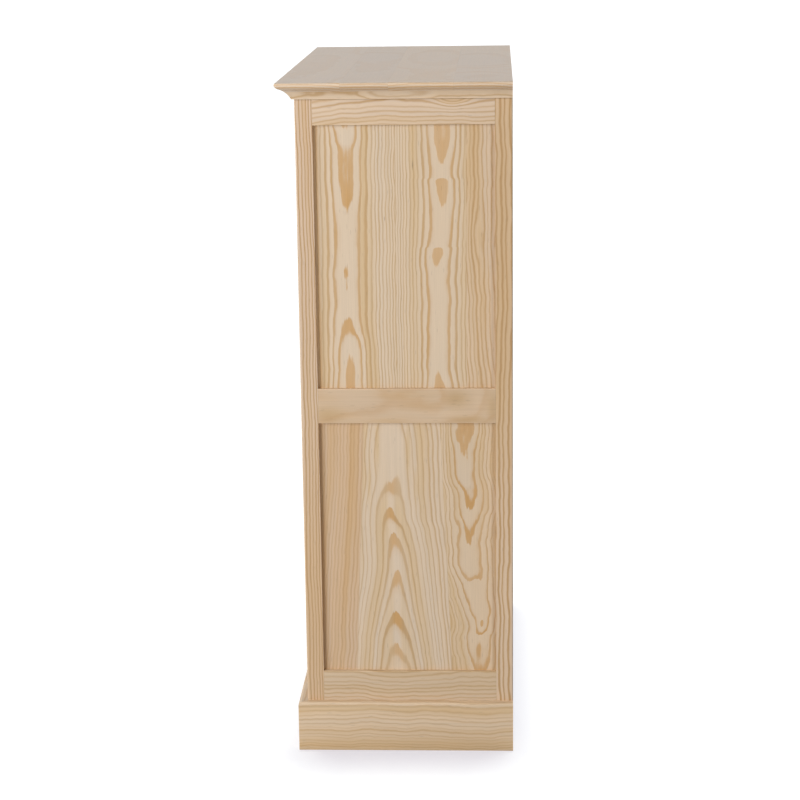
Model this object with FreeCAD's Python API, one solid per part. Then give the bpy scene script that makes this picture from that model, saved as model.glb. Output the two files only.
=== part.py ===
import FreeCAD, Part
import math
import os

# A pine cupboard with two tall doors, a moulded top and an applied plinth.
# Millimetres, +Z up. X runs along the front, and the front faces -Y. The origin is on
# the floor, under the middle of the top board.

# Overall
overall_height = 1360.0
body_width = 940.0
body_depth = 420.0

# Top board and the cove moulding under it
top_thickness = 18.0
top_overhang = 35.0
nose_depth = 6.0
nose_round = 3.0
undercut_width = 17.5
ogee_turn_depth = 8.5
ogee_turn_height = 5.0
ogee_hollow_share = 0.05
ogee_round_share = 0.08
cove_height = 15.5
cove_foot_width = 5.3
cove_foot_lip = 0.8
cove_hollow_share = 0.05

# Plinth
plinth_height = 102.0
plinth_thickness = 18.0
plinth_round = 6.0

# Posts, rails and panels
post_size = 34.0
arris_round = 2.5
side_rail_thickness = 24.0
panel_thickness = 10.0
panel_recess = 8.0
groove_depth = 8.0
panel_edge_gap = 1.0
mortise_wall = 2.0
mortise_end_gap = 1.0
top_shoulder = 12.0
top_rail_height = 66.0
middle_rail_height = 70.0
bottom_rail_height = 70.0
bottom_rail_top = 165.0

# Back
back_panel_thickness = 6.0
back_rebate_width = 12.0

# Shelves and what carries them
shelf_thickness = 18.0
cleat_size = 20.0
shelf_side_gap = 1.5
shelf_end_gap = 2.0

# Blocks under the top board
block_size = 24.0
block_length = 60.0
block_end_distance = 150.0

# Doors
door_thickness = 22.0
door_gap = 2.0
door_meeting_gap = 3.0
door_stile_width = 60.0
door_top_rail_height = 60.0
door_bottom_rail_height = 80.0
door_tenon_length = 28.0

# Butt hinges
leaf_height = 60.0
leaf_width = 20.0
leaf_thickness = 1.5
knuckle_diameter = 5.2
knuckle_count = 3
knuckle_gap = 0.2
axis_stand_off = 0.4
knuckle_seat_clearance = 0.4
hinge_pin_diameter = 3.0
hinge_pin_clearance = 0.05
hinge_end_distance = 150.0

# Knobs
knob_height = 800.0
knob_foot_diameter = 20.0
knob_foot_thickness = 3.0
knob_neck_diameter = 13.0
knob_neck_length = 9.0
knob_head_diameter = 32.0
knob_head_thickness = 16.0
knob_edge_width = 1.2
knob_crown_width = 3.0
knob_crown_height = 1.6
knob_screw_diameter = 4.0
knob_screw_head_diameter = 8.0
knob_screw_head_height = 2.5
knob_screw_bite = 16.0
knob_screw_clearance = 0.05

# Magnetic catches
catch_length = 40.0
catch_depth = 12.0
catch_height = 14.0
catch_round = 2.0
catch_gap = 0.2
strike_length = 32.0
strike_height = 12.0
strike_thickness = 1.2

# How far a cutting shape runs past what it cuts
overrun = 2.0

# Places that follow from the sizes above
side_x = body_width / 2
post_inner_x = side_x - post_size
front_y = (top_overhang - body_depth) / 2
back_y = front_y + body_depth
front_post_back_y = front_y + post_size
rear_post_front_y = back_y - post_size
carcase_height = overall_height - top_thickness
top_rail_bottom = carcase_height - top_rail_height
middle_z = (bottom_rail_top + top_rail_bottom) / 2
middle_rail_bottom = middle_z - middle_rail_height / 2
middle_rail_top = middle_z + middle_rail_height / 2
bottom_rail_bottom = bottom_rail_top - bottom_rail_height
side_rail_length = rear_post_front_y - front_post_back_y
front_rail_length = 2 * post_inner_x
rear_rail_thickness = post_size - back_panel_thickness
back_panel_front_y = back_y - back_panel_thickness
tenon_length = post_size - panel_recess - panel_thickness - mortise_wall
middle_shelf_top = middle_rail_top
door_bottom = bottom_rail_top + door_gap
door_top = top_rail_bottom - door_gap
door_meeting_x = door_meeting_gap / 2
door_hinge_x = post_inner_x - door_gap
door_back_y = front_y + door_thickness
door_rail_length = door_hinge_x - door_meeting_x - 2 * door_stile_width
hinge_axis_x = post_inner_x - door_gap / 2
hinge_axis_y = front_y - axis_stand_off
hinge_centres = (door_bottom + hinge_end_distance, door_top - hinge_end_distance)
knob_x = door_meeting_x + door_stile_width / 2
shelf_front_y = door_back_y + shelf_end_gap
shelf_back_y = back_panel_front_y - shelf_end_gap
upper_shelf_bottom = (middle_shelf_top + carcase_height) / 2
lower_shelf_bottom = (bottom_rail_top + middle_shelf_top) / 2


def vec(x, y, z):
    return FreeCAD.Vector(x, y, z)


def box(x0, x1, y0, y1, z0, z1):
    return Part.makeBox(x1 - x0, y1 - y0, z1 - z0, vec(x0, y0, z0))


def left_of(shape):
    """The same piece on the left of the cupboard."""
    return shape.mirror(vec(0, 0, 0), vec(1, 0, 0))


def both_sides(pieces):
    return Part.Compound(pieces + [left_of(piece) for piece in pieces])


def turned(shape, degrees):
    """A copy turned about the Z axis through the origin."""
    copy = shape.copy()
    copy.rotate(vec(0, 0, 0), vec(0, 0, 1), degrees)
    return copy


def moved(shape, x, y, z):
    copy = shape.copy()
    copy.translate(vec(x, y, z))
    return copy


def upright_edges(shape, x, y):
    """The straight edges of a shape that stand at one place in plan."""
    found = []
    for edge in shape.Edges:
        ends = [vertex.Point for vertex in edge.Vertexes]
        if len(ends) == 2 and all(abs(p.x - x) + abs(p.y - y) < arris_round / 10 for p in ends):
            found.append(edge)
    return found


# Rails and panels. A rail lies along X, with its show face at Y = 0 and its lower edge
# at Z = 0. Its tenons and its grooves are in line with the panel.
def rail_tenons(length, height, reach, low_shoulder, high_shoulder):
    """The two tenons of a rail, or the mortises for them when reach is longer."""
    y0 = panel_recess
    y1 = panel_recess + panel_thickness
    z0 = low_shoulder
    z1 = height - high_shoulder
    near = box(-reach, 0, y0, y1, z0, z1)
    far = box(length, length + reach, y0, y1, z0, z1)
    return Part.Compound([near, far])


def rail(length, height, thickness, reach, low_groove, high_groove, low_shoulder, high_shoulder):
    """A rail with a tenon at each end and a groove along each edge that holds a panel."""
    shape = box(0, length, 0, thickness, 0, height)
    y0 = panel_recess
    y1 = panel_recess + panel_thickness
    if low_groove:
        shape = shape.cut(box(-overrun, length + overrun, y0, y1, -overrun, groove_depth))
    if high_groove:
        top = height - groove_depth
        shape = shape.cut(box(-overrun, length + overrun, y0, y1, top, height + overrun))
    for tenon in rail_tenons(length, height, reach, low_shoulder, high_shoulder).Solids:
        shape = shape.fuse(tenon)
    return shape.removeSplitter()


def panel(width, height):
    """A flat panel for an opening, with its edges in the grooves round it."""
    hold = groove_depth - panel_edge_gap
    y0 = panel_recess
    y1 = panel_recess + panel_thickness
    return box(-hold, width + hold, y0, y1, -hold, height + hold)


# The rails of a side frame, each as (bottom, height, low groove, high groove, shoulders)
def side_rail_plan():
    return {
        "top": (top_rail_bottom, top_rail_height, True, False, groove_depth, top_shoulder),
        "middle": (middle_rail_bottom, middle_rail_height, True, True, groove_depth, groove_depth),
        "bottom": (bottom_rail_bottom, bottom_rail_height, False, True, top_shoulder, groove_depth),
    }


def on_side(shape, z):
    """Turns a rail or panel to face +X and puts it between the right-hand posts."""
    return moved(turned(shape, 90), side_x, front_post_back_y, z)


def on_front(shape, z):
    return moved(shape, -post_inner_x, front_y, z)


def on_rear(shape, z):
    return moved(turned(shape, 180), post_inner_x, back_panel_front_y, z)


def side_rail(name):
    z, height, low, high, low_shoulder, high_shoulder = side_rail_plan()[name]
    shape = rail(side_rail_length, height, side_rail_thickness, tenon_length,
                 low, high, low_shoulder, high_shoulder)
    return on_side(shape, z)


def side_panel(z0, z1):
    return on_side(panel(side_rail_length, z1 - z0), z0)


def front_rail(name):
    """Rails over and under the doors, as thick as the posts."""
    z, height = side_rail_plan()[name][:2]
    shape = rail(front_rail_length, height, post_size, tenon_length,
                 False, False, top_shoulder, top_shoulder)
    return on_front(shape, z)


def rear_rail(name):
    """Rails behind the shelves. The back panels lie on them."""
    z, height = side_rail_plan()[name][:2]
    shape = rail(front_rail_length, height, rear_rail_thickness, tenon_length,
                 False, False, top_shoulder, top_shoulder)
    return on_rear(shape, z)


# Posts
def side_mortises():
    reach = tenon_length + mortise_end_gap
    cuts = []
    for z, height, low, high, low_shoulder, high_shoulder in side_rail_plan().values():
        pair = rail_tenons(side_rail_length, height, reach, low_shoulder, high_shoulder)
        cuts.append(on_side(pair, z))
    return cuts


def cross_mortises(place, names):
    reach = tenon_length + mortise_end_gap
    cuts = []
    for name in names:
        z, height = side_rail_plan()[name][:2]
        pair = rail_tenons(front_rail_length, height, reach, top_shoulder, top_shoulder)
        cuts.append(place(pair, z))
    return cuts


def panel_groove(y0, y1):
    """The groove that holds the side panels in a post."""
    outer = side_x - panel_recess
    return box(outer - panel_thickness, outer, y0, y1, bottom_rail_bottom, carcase_height + overrun)


def front_post():
    shape = box(post_inner_x, side_x, front_y, front_post_back_y, 0, carcase_height)
    shape = shape.makeFillet(arris_round, upright_edges(shape, side_x, front_y))
    shape = shape.cut(panel_groove(front_post_back_y - groove_depth, front_post_back_y + overrun))
    shape = shape.cut(side_mortises() + cross_mortises(on_front, ("top", "bottom")))
    for z in hinge_centres:
        shape = shape.cut(leaf_mortise(z, 1)).cut(knuckle_seat(z))
    return shape


def rear_post():
    shape = box(post_inner_x, side_x, rear_post_front_y, back_y, 0, carcase_height)
    shape = shape.makeFillet(arris_round, upright_edges(shape, side_x, back_y))
    shape = shape.cut(panel_groove(rear_post_front_y - overrun, rear_post_front_y + groove_depth))
    rebate = box(post_inner_x - overrun, post_inner_x + back_rebate_width, back_panel_front_y,
                 back_y + overrun, bottom_rail_bottom, carcase_height + overrun)
    shape = shape.cut(rebate)
    return shape.cut(side_mortises() + cross_mortises(on_rear, ("top", "middle", "bottom")))


def back_panel(z0, z1):
    reach = post_inner_x + back_rebate_width
    return box(-reach, reach, back_panel_front_y, back_y, z0, z1)


# Top board, cove moulding and plinth. A section is drawn by its offset from the body
# and its height, and at(offset, height) puts a point of it in place.
def front_at(offset, height):
    return vec(0, front_y - offset, height)


def right_at(offset, height):
    return vec(side_x + offset, 0, height)


def middle_of(start, end, bulge_share):
    """A point beside the middle of a chord, out to its left by a share of its length."""
    across = vec(-(end[1] - start[1]), end[0] - start[0], 0)
    return ((start[0] + end[0]) / 2 + across.x * bulge_share,
            (start[1] + end[1]) / 2 + across.y * bulge_share)


def wire_of(at, stretches):
    """A closed wire of lines, given as 2 points, and arcs, given as 3."""
    edges = []
    for points in stretches:
        placed = [at(*point) for point in points]
        if len(placed) == 2:
            edges.append(Part.makeLine(*placed))
        else:
            edges.append(Part.Arc(*placed).toShape())
    return Part.Wire(edges)


def nose_waste(at):
    """What the cutter takes from the edge of the top board: round arris, flat nose, ogee."""
    low = carcase_height
    nose_low = overall_height - nose_depth
    under = (top_overhang - undercut_width, low)
    lip = (top_overhang, nose_low)
    turn = (top_overhang - ogee_turn_depth, low + ogee_turn_height)
    outer = top_overhang + overrun
    corner = (top_overhang - nose_round, overall_height)
    round_start = (top_overhang, overall_height - nose_round)
    inset = nose_round * (1 - math.sqrt(0.5))
    round_middle = (top_overhang - inset, overall_height - inset)
    upper = [
        (round_start, round_middle, corner),
        (corner, (corner[0], overall_height + overrun)),
        ((corner[0], overall_height + overrun), (outer, overall_height + overrun)),
        ((outer, overall_height + overrun), (outer, round_start[1])),
        ((outer, round_start[1]), round_start),
    ]
    lower = [
        (under, middle_of(under, turn, ogee_hollow_share), turn),
        (turn, middle_of(turn, lip, -ogee_round_share), lip),
        (lip, (outer, nose_low)),
        ((outer, nose_low), (outer, low - overrun)),
        ((outer, low - overrun), (under[0], low - overrun)),
        ((under[0], low - overrun), under),
    ]
    return [Part.Face(wire_of(at, upper)), Part.Face(wire_of(at, lower))]


def top_board():
    reach_x = side_x + top_overhang
    reach_y = front_y - top_overhang
    shape = box(-reach_x, reach_x, reach_y, back_y, carcase_height, overall_height)
    for face in nose_waste(front_at):
        face.translate(vec(-reach_x - overrun, 0, 0))
        shape = shape.cut(face.extrude(vec(2 * (reach_x + overrun), 0, 0)))
    for face in nose_waste(right_at):
        face.translate(vec(0, reach_y - overrun, 0))
        waste = face.extrude(vec(0, back_y - reach_y + 2 * overrun, 0))
        shape = shape.cut(waste).cut(left_of(waste))
    return shape


def cove_section(at):
    low = carcase_height - cove_height
    width = top_overhang - undercut_width
    start = (cove_foot_width, low + cove_foot_lip)
    end = (width, carcase_height)
    return Part.Face(wire_of(at, [
        ((0, low), (cove_foot_width, low)),
        ((cove_foot_width, low), start),
        (start, middle_of(start, end, cove_hollow_share), end),
        (end, (0, carcase_height)),
        ((0, carcase_height), (0, low)),
    ]))


def plinth_section(at):
    round_low = plinth_height - plinth_round
    inset = plinth_round * (1 - math.sqrt(0.5))
    return Part.Face(wire_of(at, [
        ((0, 0), (plinth_thickness, 0)),
        ((plinth_thickness, 0), (plinth_thickness, round_low)),
        ((plinth_thickness, round_low), (plinth_thickness - inset, plinth_height - inset),
         (plinth_thickness - plinth_round, plinth_height)),
        ((plinth_thickness - plinth_round, plinth_height), (0, plinth_height)),
        ((0, plinth_height), (0, 0)),
    ]))


def plan_prism(points, low, high):
    corners = [vec(x, y, low) for x, y in points]
    face = Part.Face(Part.makePolygon(corners + corners[:1]))
    return face.extrude(vec(0, 0, high - low))


def front_run(section, reach, low, high):
    """A moulding along the front, mitred at both ends."""
    length = side_x + reach
    face = section(front_at)
    face.translate(vec(-length, 0, 0))
    strip = face.extrude(vec(2 * length, 0, 0))
    plan = [(-side_x, front_y), (side_x, front_y),
            (side_x + reach, front_y - reach), (-side_x - reach, front_y - reach)]
    return strip.common(plan_prism(plan, low, high))


def right_run(section, reach, low, high):
    """A moulding along the right side, mitred at the front and square at the back."""
    start = front_y - reach
    face = section(right_at)
    face.translate(vec(0, start, 0))
    strip = face.extrude(vec(0, back_y - start, 0))
    plan = [(side_x, front_y), (side_x, back_y),
            (side_x + reach, back_y), (side_x + reach, front_y - reach)]
    return strip.common(plan_prism(plan, low, high))


def cove_run(run):
    return run(cove_section, top_overhang, carcase_height - cove_height, carcase_height)


def plinth_run(run):
    return run(plinth_section, plinth_thickness, 0, plinth_height)


# Shelves and what carries them
def fixed_board(top):
    """A board between the side rails, the posts and the front and rear rails."""
    reach = side_x - side_rail_thickness
    return box(-reach, reach, front_post_back_y, rear_post_front_y, top - shelf_thickness, top)


def cleat(outer_x, y0, y1, top):
    return box(outer_x - cleat_size, outer_x, y0, y1, top - cleat_size, top)


def shelf_cleats():
    """Battens on the side rails under the fixed boards, and across the posts under the others."""
    cleats = []
    for top in (bottom_rail_top, middle_shelf_top):
        cleats.append(cleat(side_x - side_rail_thickness, front_post_back_y, rear_post_front_y,
                            top - shelf_thickness))
    for bottom in (lower_shelf_bottom, upper_shelf_bottom):
        cleats.append(cleat(post_inner_x, shelf_front_y, shelf_back_y, bottom))
    return both_sides(cleats)


def loose_shelf(low):
    """A shelf that rests on two cleats and lifts out."""
    reach = post_inner_x - shelf_side_gap
    shape = box(-reach, reach, shelf_front_y, shelf_back_y, low, low + shelf_thickness)
    front = []
    for edge in shape.Edges:
        start, end = [vertex.Point for vertex in edge.Vertexes]
        if abs(start.y - shelf_front_y) + abs(end.y - shelf_front_y) < arris_round / 10:
            if abs(start.z - end.z) < arris_round / 10:
                front.append(edge)
    return shape.makeFillet(arris_round, front)


def fixing_block(along_x):
    """A three-sided block for the corner between the top board and a rail."""
    corner = vec(0, 0, 0)
    points = [corner, vec(0, block_size, 0), vec(0, 0, -block_size), corner]
    face = Part.Face(Part.makePolygon(points))
    face.translate(vec(-block_length / 2, 0, 0))
    block = face.extrude(vec(block_length, 0, 0))
    return moved(block, along_x, front_post_back_y, carcase_height)


def top_fixing_blocks():
    """Blocks glued to the front, rear and side top rails, under the top board."""
    place = post_inner_x - block_end_distance
    front = [fixing_block(-place), fixing_block(place)]
    rear = []
    for x in (-place, place):
        block = turned(moved(fixing_block(0), 0, -front_post_back_y, 0), 180)
        rear.append(moved(block, x, rear_post_front_y, 0))
    flat = turned(moved(fixing_block(0), 0, -front_post_back_y, 0), 90)
    right = moved(flat, side_x - side_rail_thickness, (front_post_back_y + rear_post_front_y) / 2, 0)
    return Part.Compound(front + rear + [right, left_of(right)])


# Butt hinges. side is 1 for the leaf on the post and -1 for the leaf on the door.
def leaf_plate(z, side):
    """The flat of a leaf, let in flush with the wood."""
    half = leaf_height / 2
    face = hinge_axis_x + side * door_gap / 2
    x0, x1 = sorted((face, face + side * leaf_thickness))
    return box(x0, x1, hinge_axis_y, hinge_axis_y + leaf_width, z - half, z + half)


def leaf_mortise(z, side):
    """The recess for a leaf, open at the face of the wood and at the front."""
    half = leaf_height / 2
    face = hinge_axis_x + side * door_gap / 2
    x0, x1 = sorted((face - side * overrun, face + side * leaf_thickness))
    return box(x0, x1, hinge_axis_y - overrun, hinge_axis_y + leaf_width, z - half, z + half)


def knuckle_seat(z):
    """The notch for the knuckles in the corner of the wood."""
    reach = knuckle_diameter / 2 + knuckle_seat_clearance
    half = leaf_height / 2 + knuckle_seat_clearance
    return box(hinge_axis_x - reach, hinge_axis_x + reach, hinge_axis_y - reach,
               hinge_axis_y + reach, z - half, z + half)


def hinge_leaf(z, side):
    """A leaf and its knuckles, bored for the pin. The post's leaf has the end knuckles."""
    half = leaf_height / 2
    pitch = leaf_height / knuckle_count
    shape = leaf_plate(z, side)
    axis_foot = vec(hinge_axis_x, hinge_axis_y, z - half)
    others = []
    for number in range(knuckle_count):
        low = z - half + number * pitch
        mine = (number % 2 == 0) == (side == 1)
        if mine:
            barrel = Part.makeCylinder(knuckle_diameter / 2, pitch, vec(hinge_axis_x, hinge_axis_y, low))
            shape = shape.fuse(barrel)
        else:
            room = knuckle_diameter / 2 + knuckle_seat_clearance
            low_end = low - (knuckle_gap if number > 0 else 0)
            high_end = low + pitch + (knuckle_gap if number < knuckle_count - 1 else 0)
            others.append(Part.makeCylinder(room, high_end - low_end,
                                            vec(hinge_axis_x, hinge_axis_y, low_end)))
    for other in others:
        shape = shape.cut(other)
    bore = Part.makeCylinder(hinge_pin_diameter / 2 + hinge_pin_clearance,
                             leaf_height + 2 * overrun, axis_foot - vec(0, 0, overrun))
    return shape.cut(bore).removeSplitter()


def hinge_pin(z):
    """A fixed pin, flush with the end knuckles."""
    foot = vec(hinge_axis_x, hinge_axis_y, z - leaf_height / 2)
    return Part.makeCylinder(hinge_pin_diameter / 2, leaf_height, foot)


# Doors, drawn for the right-hand side
def door_rail_plan():
    return {
        "top": (door_top - door_top_rail_height, door_top_rail_height,
                True, False, groove_depth, top_shoulder),
        "middle": (middle_rail_bottom, middle_rail_height, True, True, groove_depth, groove_depth),
        "bottom": (door_bottom, door_bottom_rail_height, False, True, top_shoulder, groove_depth),
    }


def on_door(shape, z):
    return moved(shape, door_meeting_x + door_stile_width, front_y, z)


def door_rail(name):
    z, height, low, high, low_shoulder, high_shoulder = door_rail_plan()[name]
    shape = rail(door_rail_length, height, door_thickness, door_tenon_length,
                 low, high, low_shoulder, high_shoulder)
    return on_door(shape, z)


def door_panel(low_rail, high_rail):
    low = door_rail_plan()[low_rail]
    z0 = low[0] + low[1]
    z1 = door_rail_plan()[high_rail][0]
    return on_door(panel(door_rail_length, z1 - z0), z0)


def door_stile(x0, groove_x0, rounded_x):
    """An upright of the door, grooved and mortised on the edge that faces the panel."""
    shape = box(x0, x0 + door_stile_width, front_y, door_back_y, door_bottom, door_top)
    shape = shape.makeFillet(arris_round, upright_edges(shape, rounded_x, front_y))
    y0 = front_y + panel_recess
    groove = box(groove_x0, groove_x0 + groove_depth, y0, y0 + panel_thickness,
                 door_bottom + door_bottom_rail_height - groove_depth,
                 door_top - door_top_rail_height + groove_depth)
    cuts = [groove]
    reach = door_tenon_length + mortise_end_gap
    for z, height, low, high, low_shoulder, high_shoulder in door_rail_plan().values():
        pair = rail_tenons(door_rail_length, height, reach, low_shoulder, high_shoulder)
        cuts.append(on_door(pair, z))
    return shape.cut(cuts)


def door_hinge_stile():
    x0 = door_hinge_x - door_stile_width
    shape = door_stile(x0, x0, door_hinge_x)
    for z in hinge_centres:
        shape = shape.cut(leaf_mortise(z, -1)).cut(knuckle_seat(z))
    return shape


def door_meeting_stile():
    groove_x0 = door_meeting_x + door_stile_width - groove_depth
    shape = door_stile(door_meeting_x, groove_x0, door_meeting_x)
    hole = knob_screw_diameter / 2 + knob_screw_clearance
    start = vec(knob_x, front_y - overrun, knob_height)
    return shape.cut(Part.makeCylinder(hole, door_thickness + 2 * overrun, start, vec(0, 1, 0)))


def knob():
    """A turned knob: a foot, a neck and a thick head with an eased edge and crown."""
    foot = knob_foot_diameter / 2
    neck = knob_neck_diameter / 2
    head = knob_head_diameter / 2
    head_start = knob_foot_thickness + knob_neck_length
    reach = head_start + knob_head_thickness
    outline = [
        vec(0, 0, 0),
        vec(foot, 0, 0),
        vec(foot, 0, knob_foot_thickness),
        vec(neck, 0, knob_foot_thickness),
        vec(neck, 0, head_start),
        vec(head - knob_edge_width, 0, head_start),
        vec(head, 0, head_start + knob_edge_width),
        vec(head, 0, reach - knob_crown_height),
        vec(head - knob_crown_width, 0, reach),
        vec(0, 0, reach),
        vec(0, 0, 0),
    ]
    shape = Part.Face(Part.makePolygon(outline)).revolve(vec(0, 0, 0), vec(0, 0, 1), 360)
    hole = knob_screw_diameter / 2 + knob_screw_clearance
    depth = knob_screw_bite + mortise_end_gap
    shape = Part.Solid(shape).cut(Part.makeCylinder(hole, depth + overrun, vec(0, 0, -overrun)))
    shape.rotate(vec(0, 0, 0), vec(1, 0, 0), 90)
    return moved(shape, knob_x, front_y, knob_height)


def knob_screw():
    """A flat-headed screw, from inside the door into the knob."""
    start = vec(knob_x, door_back_y, knob_height)
    shank = Part.makeCylinder(knob_screw_diameter / 2, door_thickness + knob_screw_bite,
                              start, vec(0, -1, 0))
    head = Part.makeCylinder(knob_screw_head_diameter / 2, knob_screw_head_height,
                             start, vec(0, 1, 0))
    return shank.fuse(head).removeSplitter()


def magnetic_catches():
    """Two catches under the front top rail, one for each door."""
    y0 = door_back_y + strike_thickness + catch_gap
    x0 = knob_x - catch_length / 2
    right = box(x0, x0 + catch_length, y0, y0 + catch_depth,
                top_rail_bottom - catch_height, top_rail_bottom)
    right = right.makeFillet(catch_round, upright_edges(right, x0, y0 + catch_depth)
                             + upright_edges(right, x0 + catch_length, y0 + catch_depth))
    return Part.Compound([right, left_of(right)])


def strike_plate():
    """The plate on the inner face of a door that its catch holds."""
    x0 = knob_x - strike_length / 2
    z0 = top_rail_bottom - catch_height / 2 - strike_height / 2
    top = min(z0 + strike_height, door_top)
    return box(x0, x0 + strike_length, door_back_y, door_back_y + strike_thickness, z0, top)


def pieces():
    """Every node and its shape."""
    found = {
        "top_board": top_board(),
        "cove_front": cove_run(front_run),
        "cove_right": cove_run(right_run),
        "plinth_front": plinth_run(front_run),
        "plinth_right": plinth_run(right_run),
        "front_post_right": front_post(),
        "rear_post_right": rear_post(),
        "side_top_rail_right": side_rail("top"),
        "side_middle_rail_right": side_rail("middle"),
        "side_bottom_rail_right": side_rail("bottom"),
        "side_upper_panel_right": side_panel(middle_rail_top, top_rail_bottom),
        "side_lower_panel_right": side_panel(bottom_rail_top, middle_rail_bottom),
    }
    for name in list(found):
        if name.endswith("_right"):
            found[name.replace("_right", "_left")] = left_of(found[name])
    found.update({
        "front_top_rail": front_rail("top"),
        "front_bottom_rail": front_rail("bottom"),
        "rear_top_rail": rear_rail("top"),
        "rear_middle_rail": rear_rail("middle"),
        "rear_bottom_rail": rear_rail("bottom"),
        "back_panel_upper": back_panel(middle_z, carcase_height),
        "back_panel_lower": back_panel(bottom_rail_bottom, middle_z),
        "bottom_board": fixed_board(bottom_rail_top),
        "middle_shelf": fixed_board(middle_shelf_top),
        "upper_loose_shelf": loose_shelf(upper_shelf_bottom),
        "lower_loose_shelf": loose_shelf(lower_shelf_bottom),
        "shelf_cleats": shelf_cleats(),
        "top_fixing_blocks": top_fixing_blocks(),
        "post_hinge_leaves": both_sides([hinge_leaf(z, 1) for z in hinge_centres]),
        "hinge_pins": both_sides([hinge_pin(z) for z in hinge_centres]),
        "magnetic_catches": magnetic_catches(),
    })
    door = {
        "hinge_stile": door_hinge_stile(),
        "meeting_stile": door_meeting_stile(),
        "top_rail": door_rail("top"),
        "middle_rail": door_rail("middle"),
        "bottom_rail": door_rail("bottom"),
        "upper_panel": door_panel("middle", "top"),
        "lower_panel": door_panel("bottom", "middle"),
        "knob": knob(),
        "knob_screw": knob_screw(),
        "hinge_leaves": Part.Compound([hinge_leaf(z, -1) for z in hinge_centres]),
        "strike_plate": strike_plate(),
    }
    for name, shape in door.items():
        found["right_door_" + name] = shape
        found["left_door_" + name] = left_of(shape)
    return found


def main():
    os.makedirs("parts", exist_ok=True)
    for name, shape in pieces().items():
        shape.exportStep("parts/" + name + ".step")


main()
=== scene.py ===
import math
import random

import bpy
from mathutils import Matrix, Quaternion, Vector


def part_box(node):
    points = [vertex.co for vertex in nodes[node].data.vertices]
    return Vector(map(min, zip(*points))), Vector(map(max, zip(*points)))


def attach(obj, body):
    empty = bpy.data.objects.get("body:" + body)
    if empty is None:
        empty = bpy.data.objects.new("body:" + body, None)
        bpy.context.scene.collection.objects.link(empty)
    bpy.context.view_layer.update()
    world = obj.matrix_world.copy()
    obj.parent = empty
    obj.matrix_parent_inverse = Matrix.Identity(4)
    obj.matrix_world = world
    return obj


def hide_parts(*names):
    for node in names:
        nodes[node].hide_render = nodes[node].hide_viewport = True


bl_info = {
    "name": "Pine cupboard",
    "version": (1, 0, 0),
    "blender": (4, 5, 0),
    "location": "3D View > Sidebar > Cupboard",
    "description": "Finishes, small hardware and studio for a two-door pine cupboard",
    "category": "Object",
}

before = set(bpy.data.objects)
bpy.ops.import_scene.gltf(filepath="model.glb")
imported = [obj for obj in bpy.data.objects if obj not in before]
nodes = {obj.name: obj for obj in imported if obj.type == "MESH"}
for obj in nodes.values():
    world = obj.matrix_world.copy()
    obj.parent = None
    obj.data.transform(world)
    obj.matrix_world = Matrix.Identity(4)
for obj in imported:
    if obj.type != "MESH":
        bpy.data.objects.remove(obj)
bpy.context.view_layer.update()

MM = 0.001
CABINET = "cabinet"
# Each side's name, its direction along X and the body of its door
SIDES = (("left", -1, "left_door"), ("right", 1, "right_door"))

AXES = {"x": 0, "y": 1, "z": 2}
LOW, HIGH = 0, 1


def place_of(node, end, axis):
    """Where a solid's lowest or highest face is along an axis, in metres."""
    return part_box(node)[end][AXES[axis]]


# Places of the solids' faces and edges. Those at the front are distances from the middle
SIDE_FACE = place_of("side_top_rail_right", HIGH, "x")
SIDE_PANEL_FACE = place_of("side_upper_panel_right", HIGH, "x")
PLINTH_SIDE_FACE = place_of("plinth_right", HIGH, "x")
FRONT_FACE = -place_of("front_top_rail", LOW, "y")
DOOR_PANEL_FACE = -place_of("right_door_upper_panel", LOW, "y")
PLINTH_FRONT_FACE = -place_of("plinth_front", LOW, "y")
REAR_RAIL_FACE = place_of("rear_top_rail", HIGH, "y")
BACK_FACE = place_of("back_panel_upper", HIGH, "y")
BACK_JOINT = place_of("back_panel_upper", LOW, "z")
TOP_FACE = place_of("top_board", HIGH, "z")
FRONT_POST_EDGE = place_of("front_post_right", HIGH, "y")
REAR_POST_EDGE = place_of("rear_post_right", LOW, "y")
POST_INNER_FACE = place_of("front_post_right", LOW, "x")
DOOR_EDGE = place_of("right_door_hinge_stile", HIGH, "x")
DOOR_OPENING = (place_of("right_door_meeting_stile", HIGH, "x"),
                place_of("right_door_hinge_stile", LOW, "x"))
COVE_BOTTOM = place_of("cove_right", LOW, "z")
TOP_RAIL_BOTTOM = place_of("side_top_rail_right", LOW, "z")
MIDDLE_RAIL_TOP = place_of("side_middle_rail_right", HIGH, "z")
MIDDLE_RAIL_BOTTOM = place_of("side_middle_rail_right", LOW, "z")
BOTTOM_RAIL_TOP = place_of("side_bottom_rail_right", HIGH, "z")
PLINTH_TOP = place_of("plinth_right", HIGH, "z")
KNOB_FACE = -place_of("right_door_knob", LOW, "y")


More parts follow.
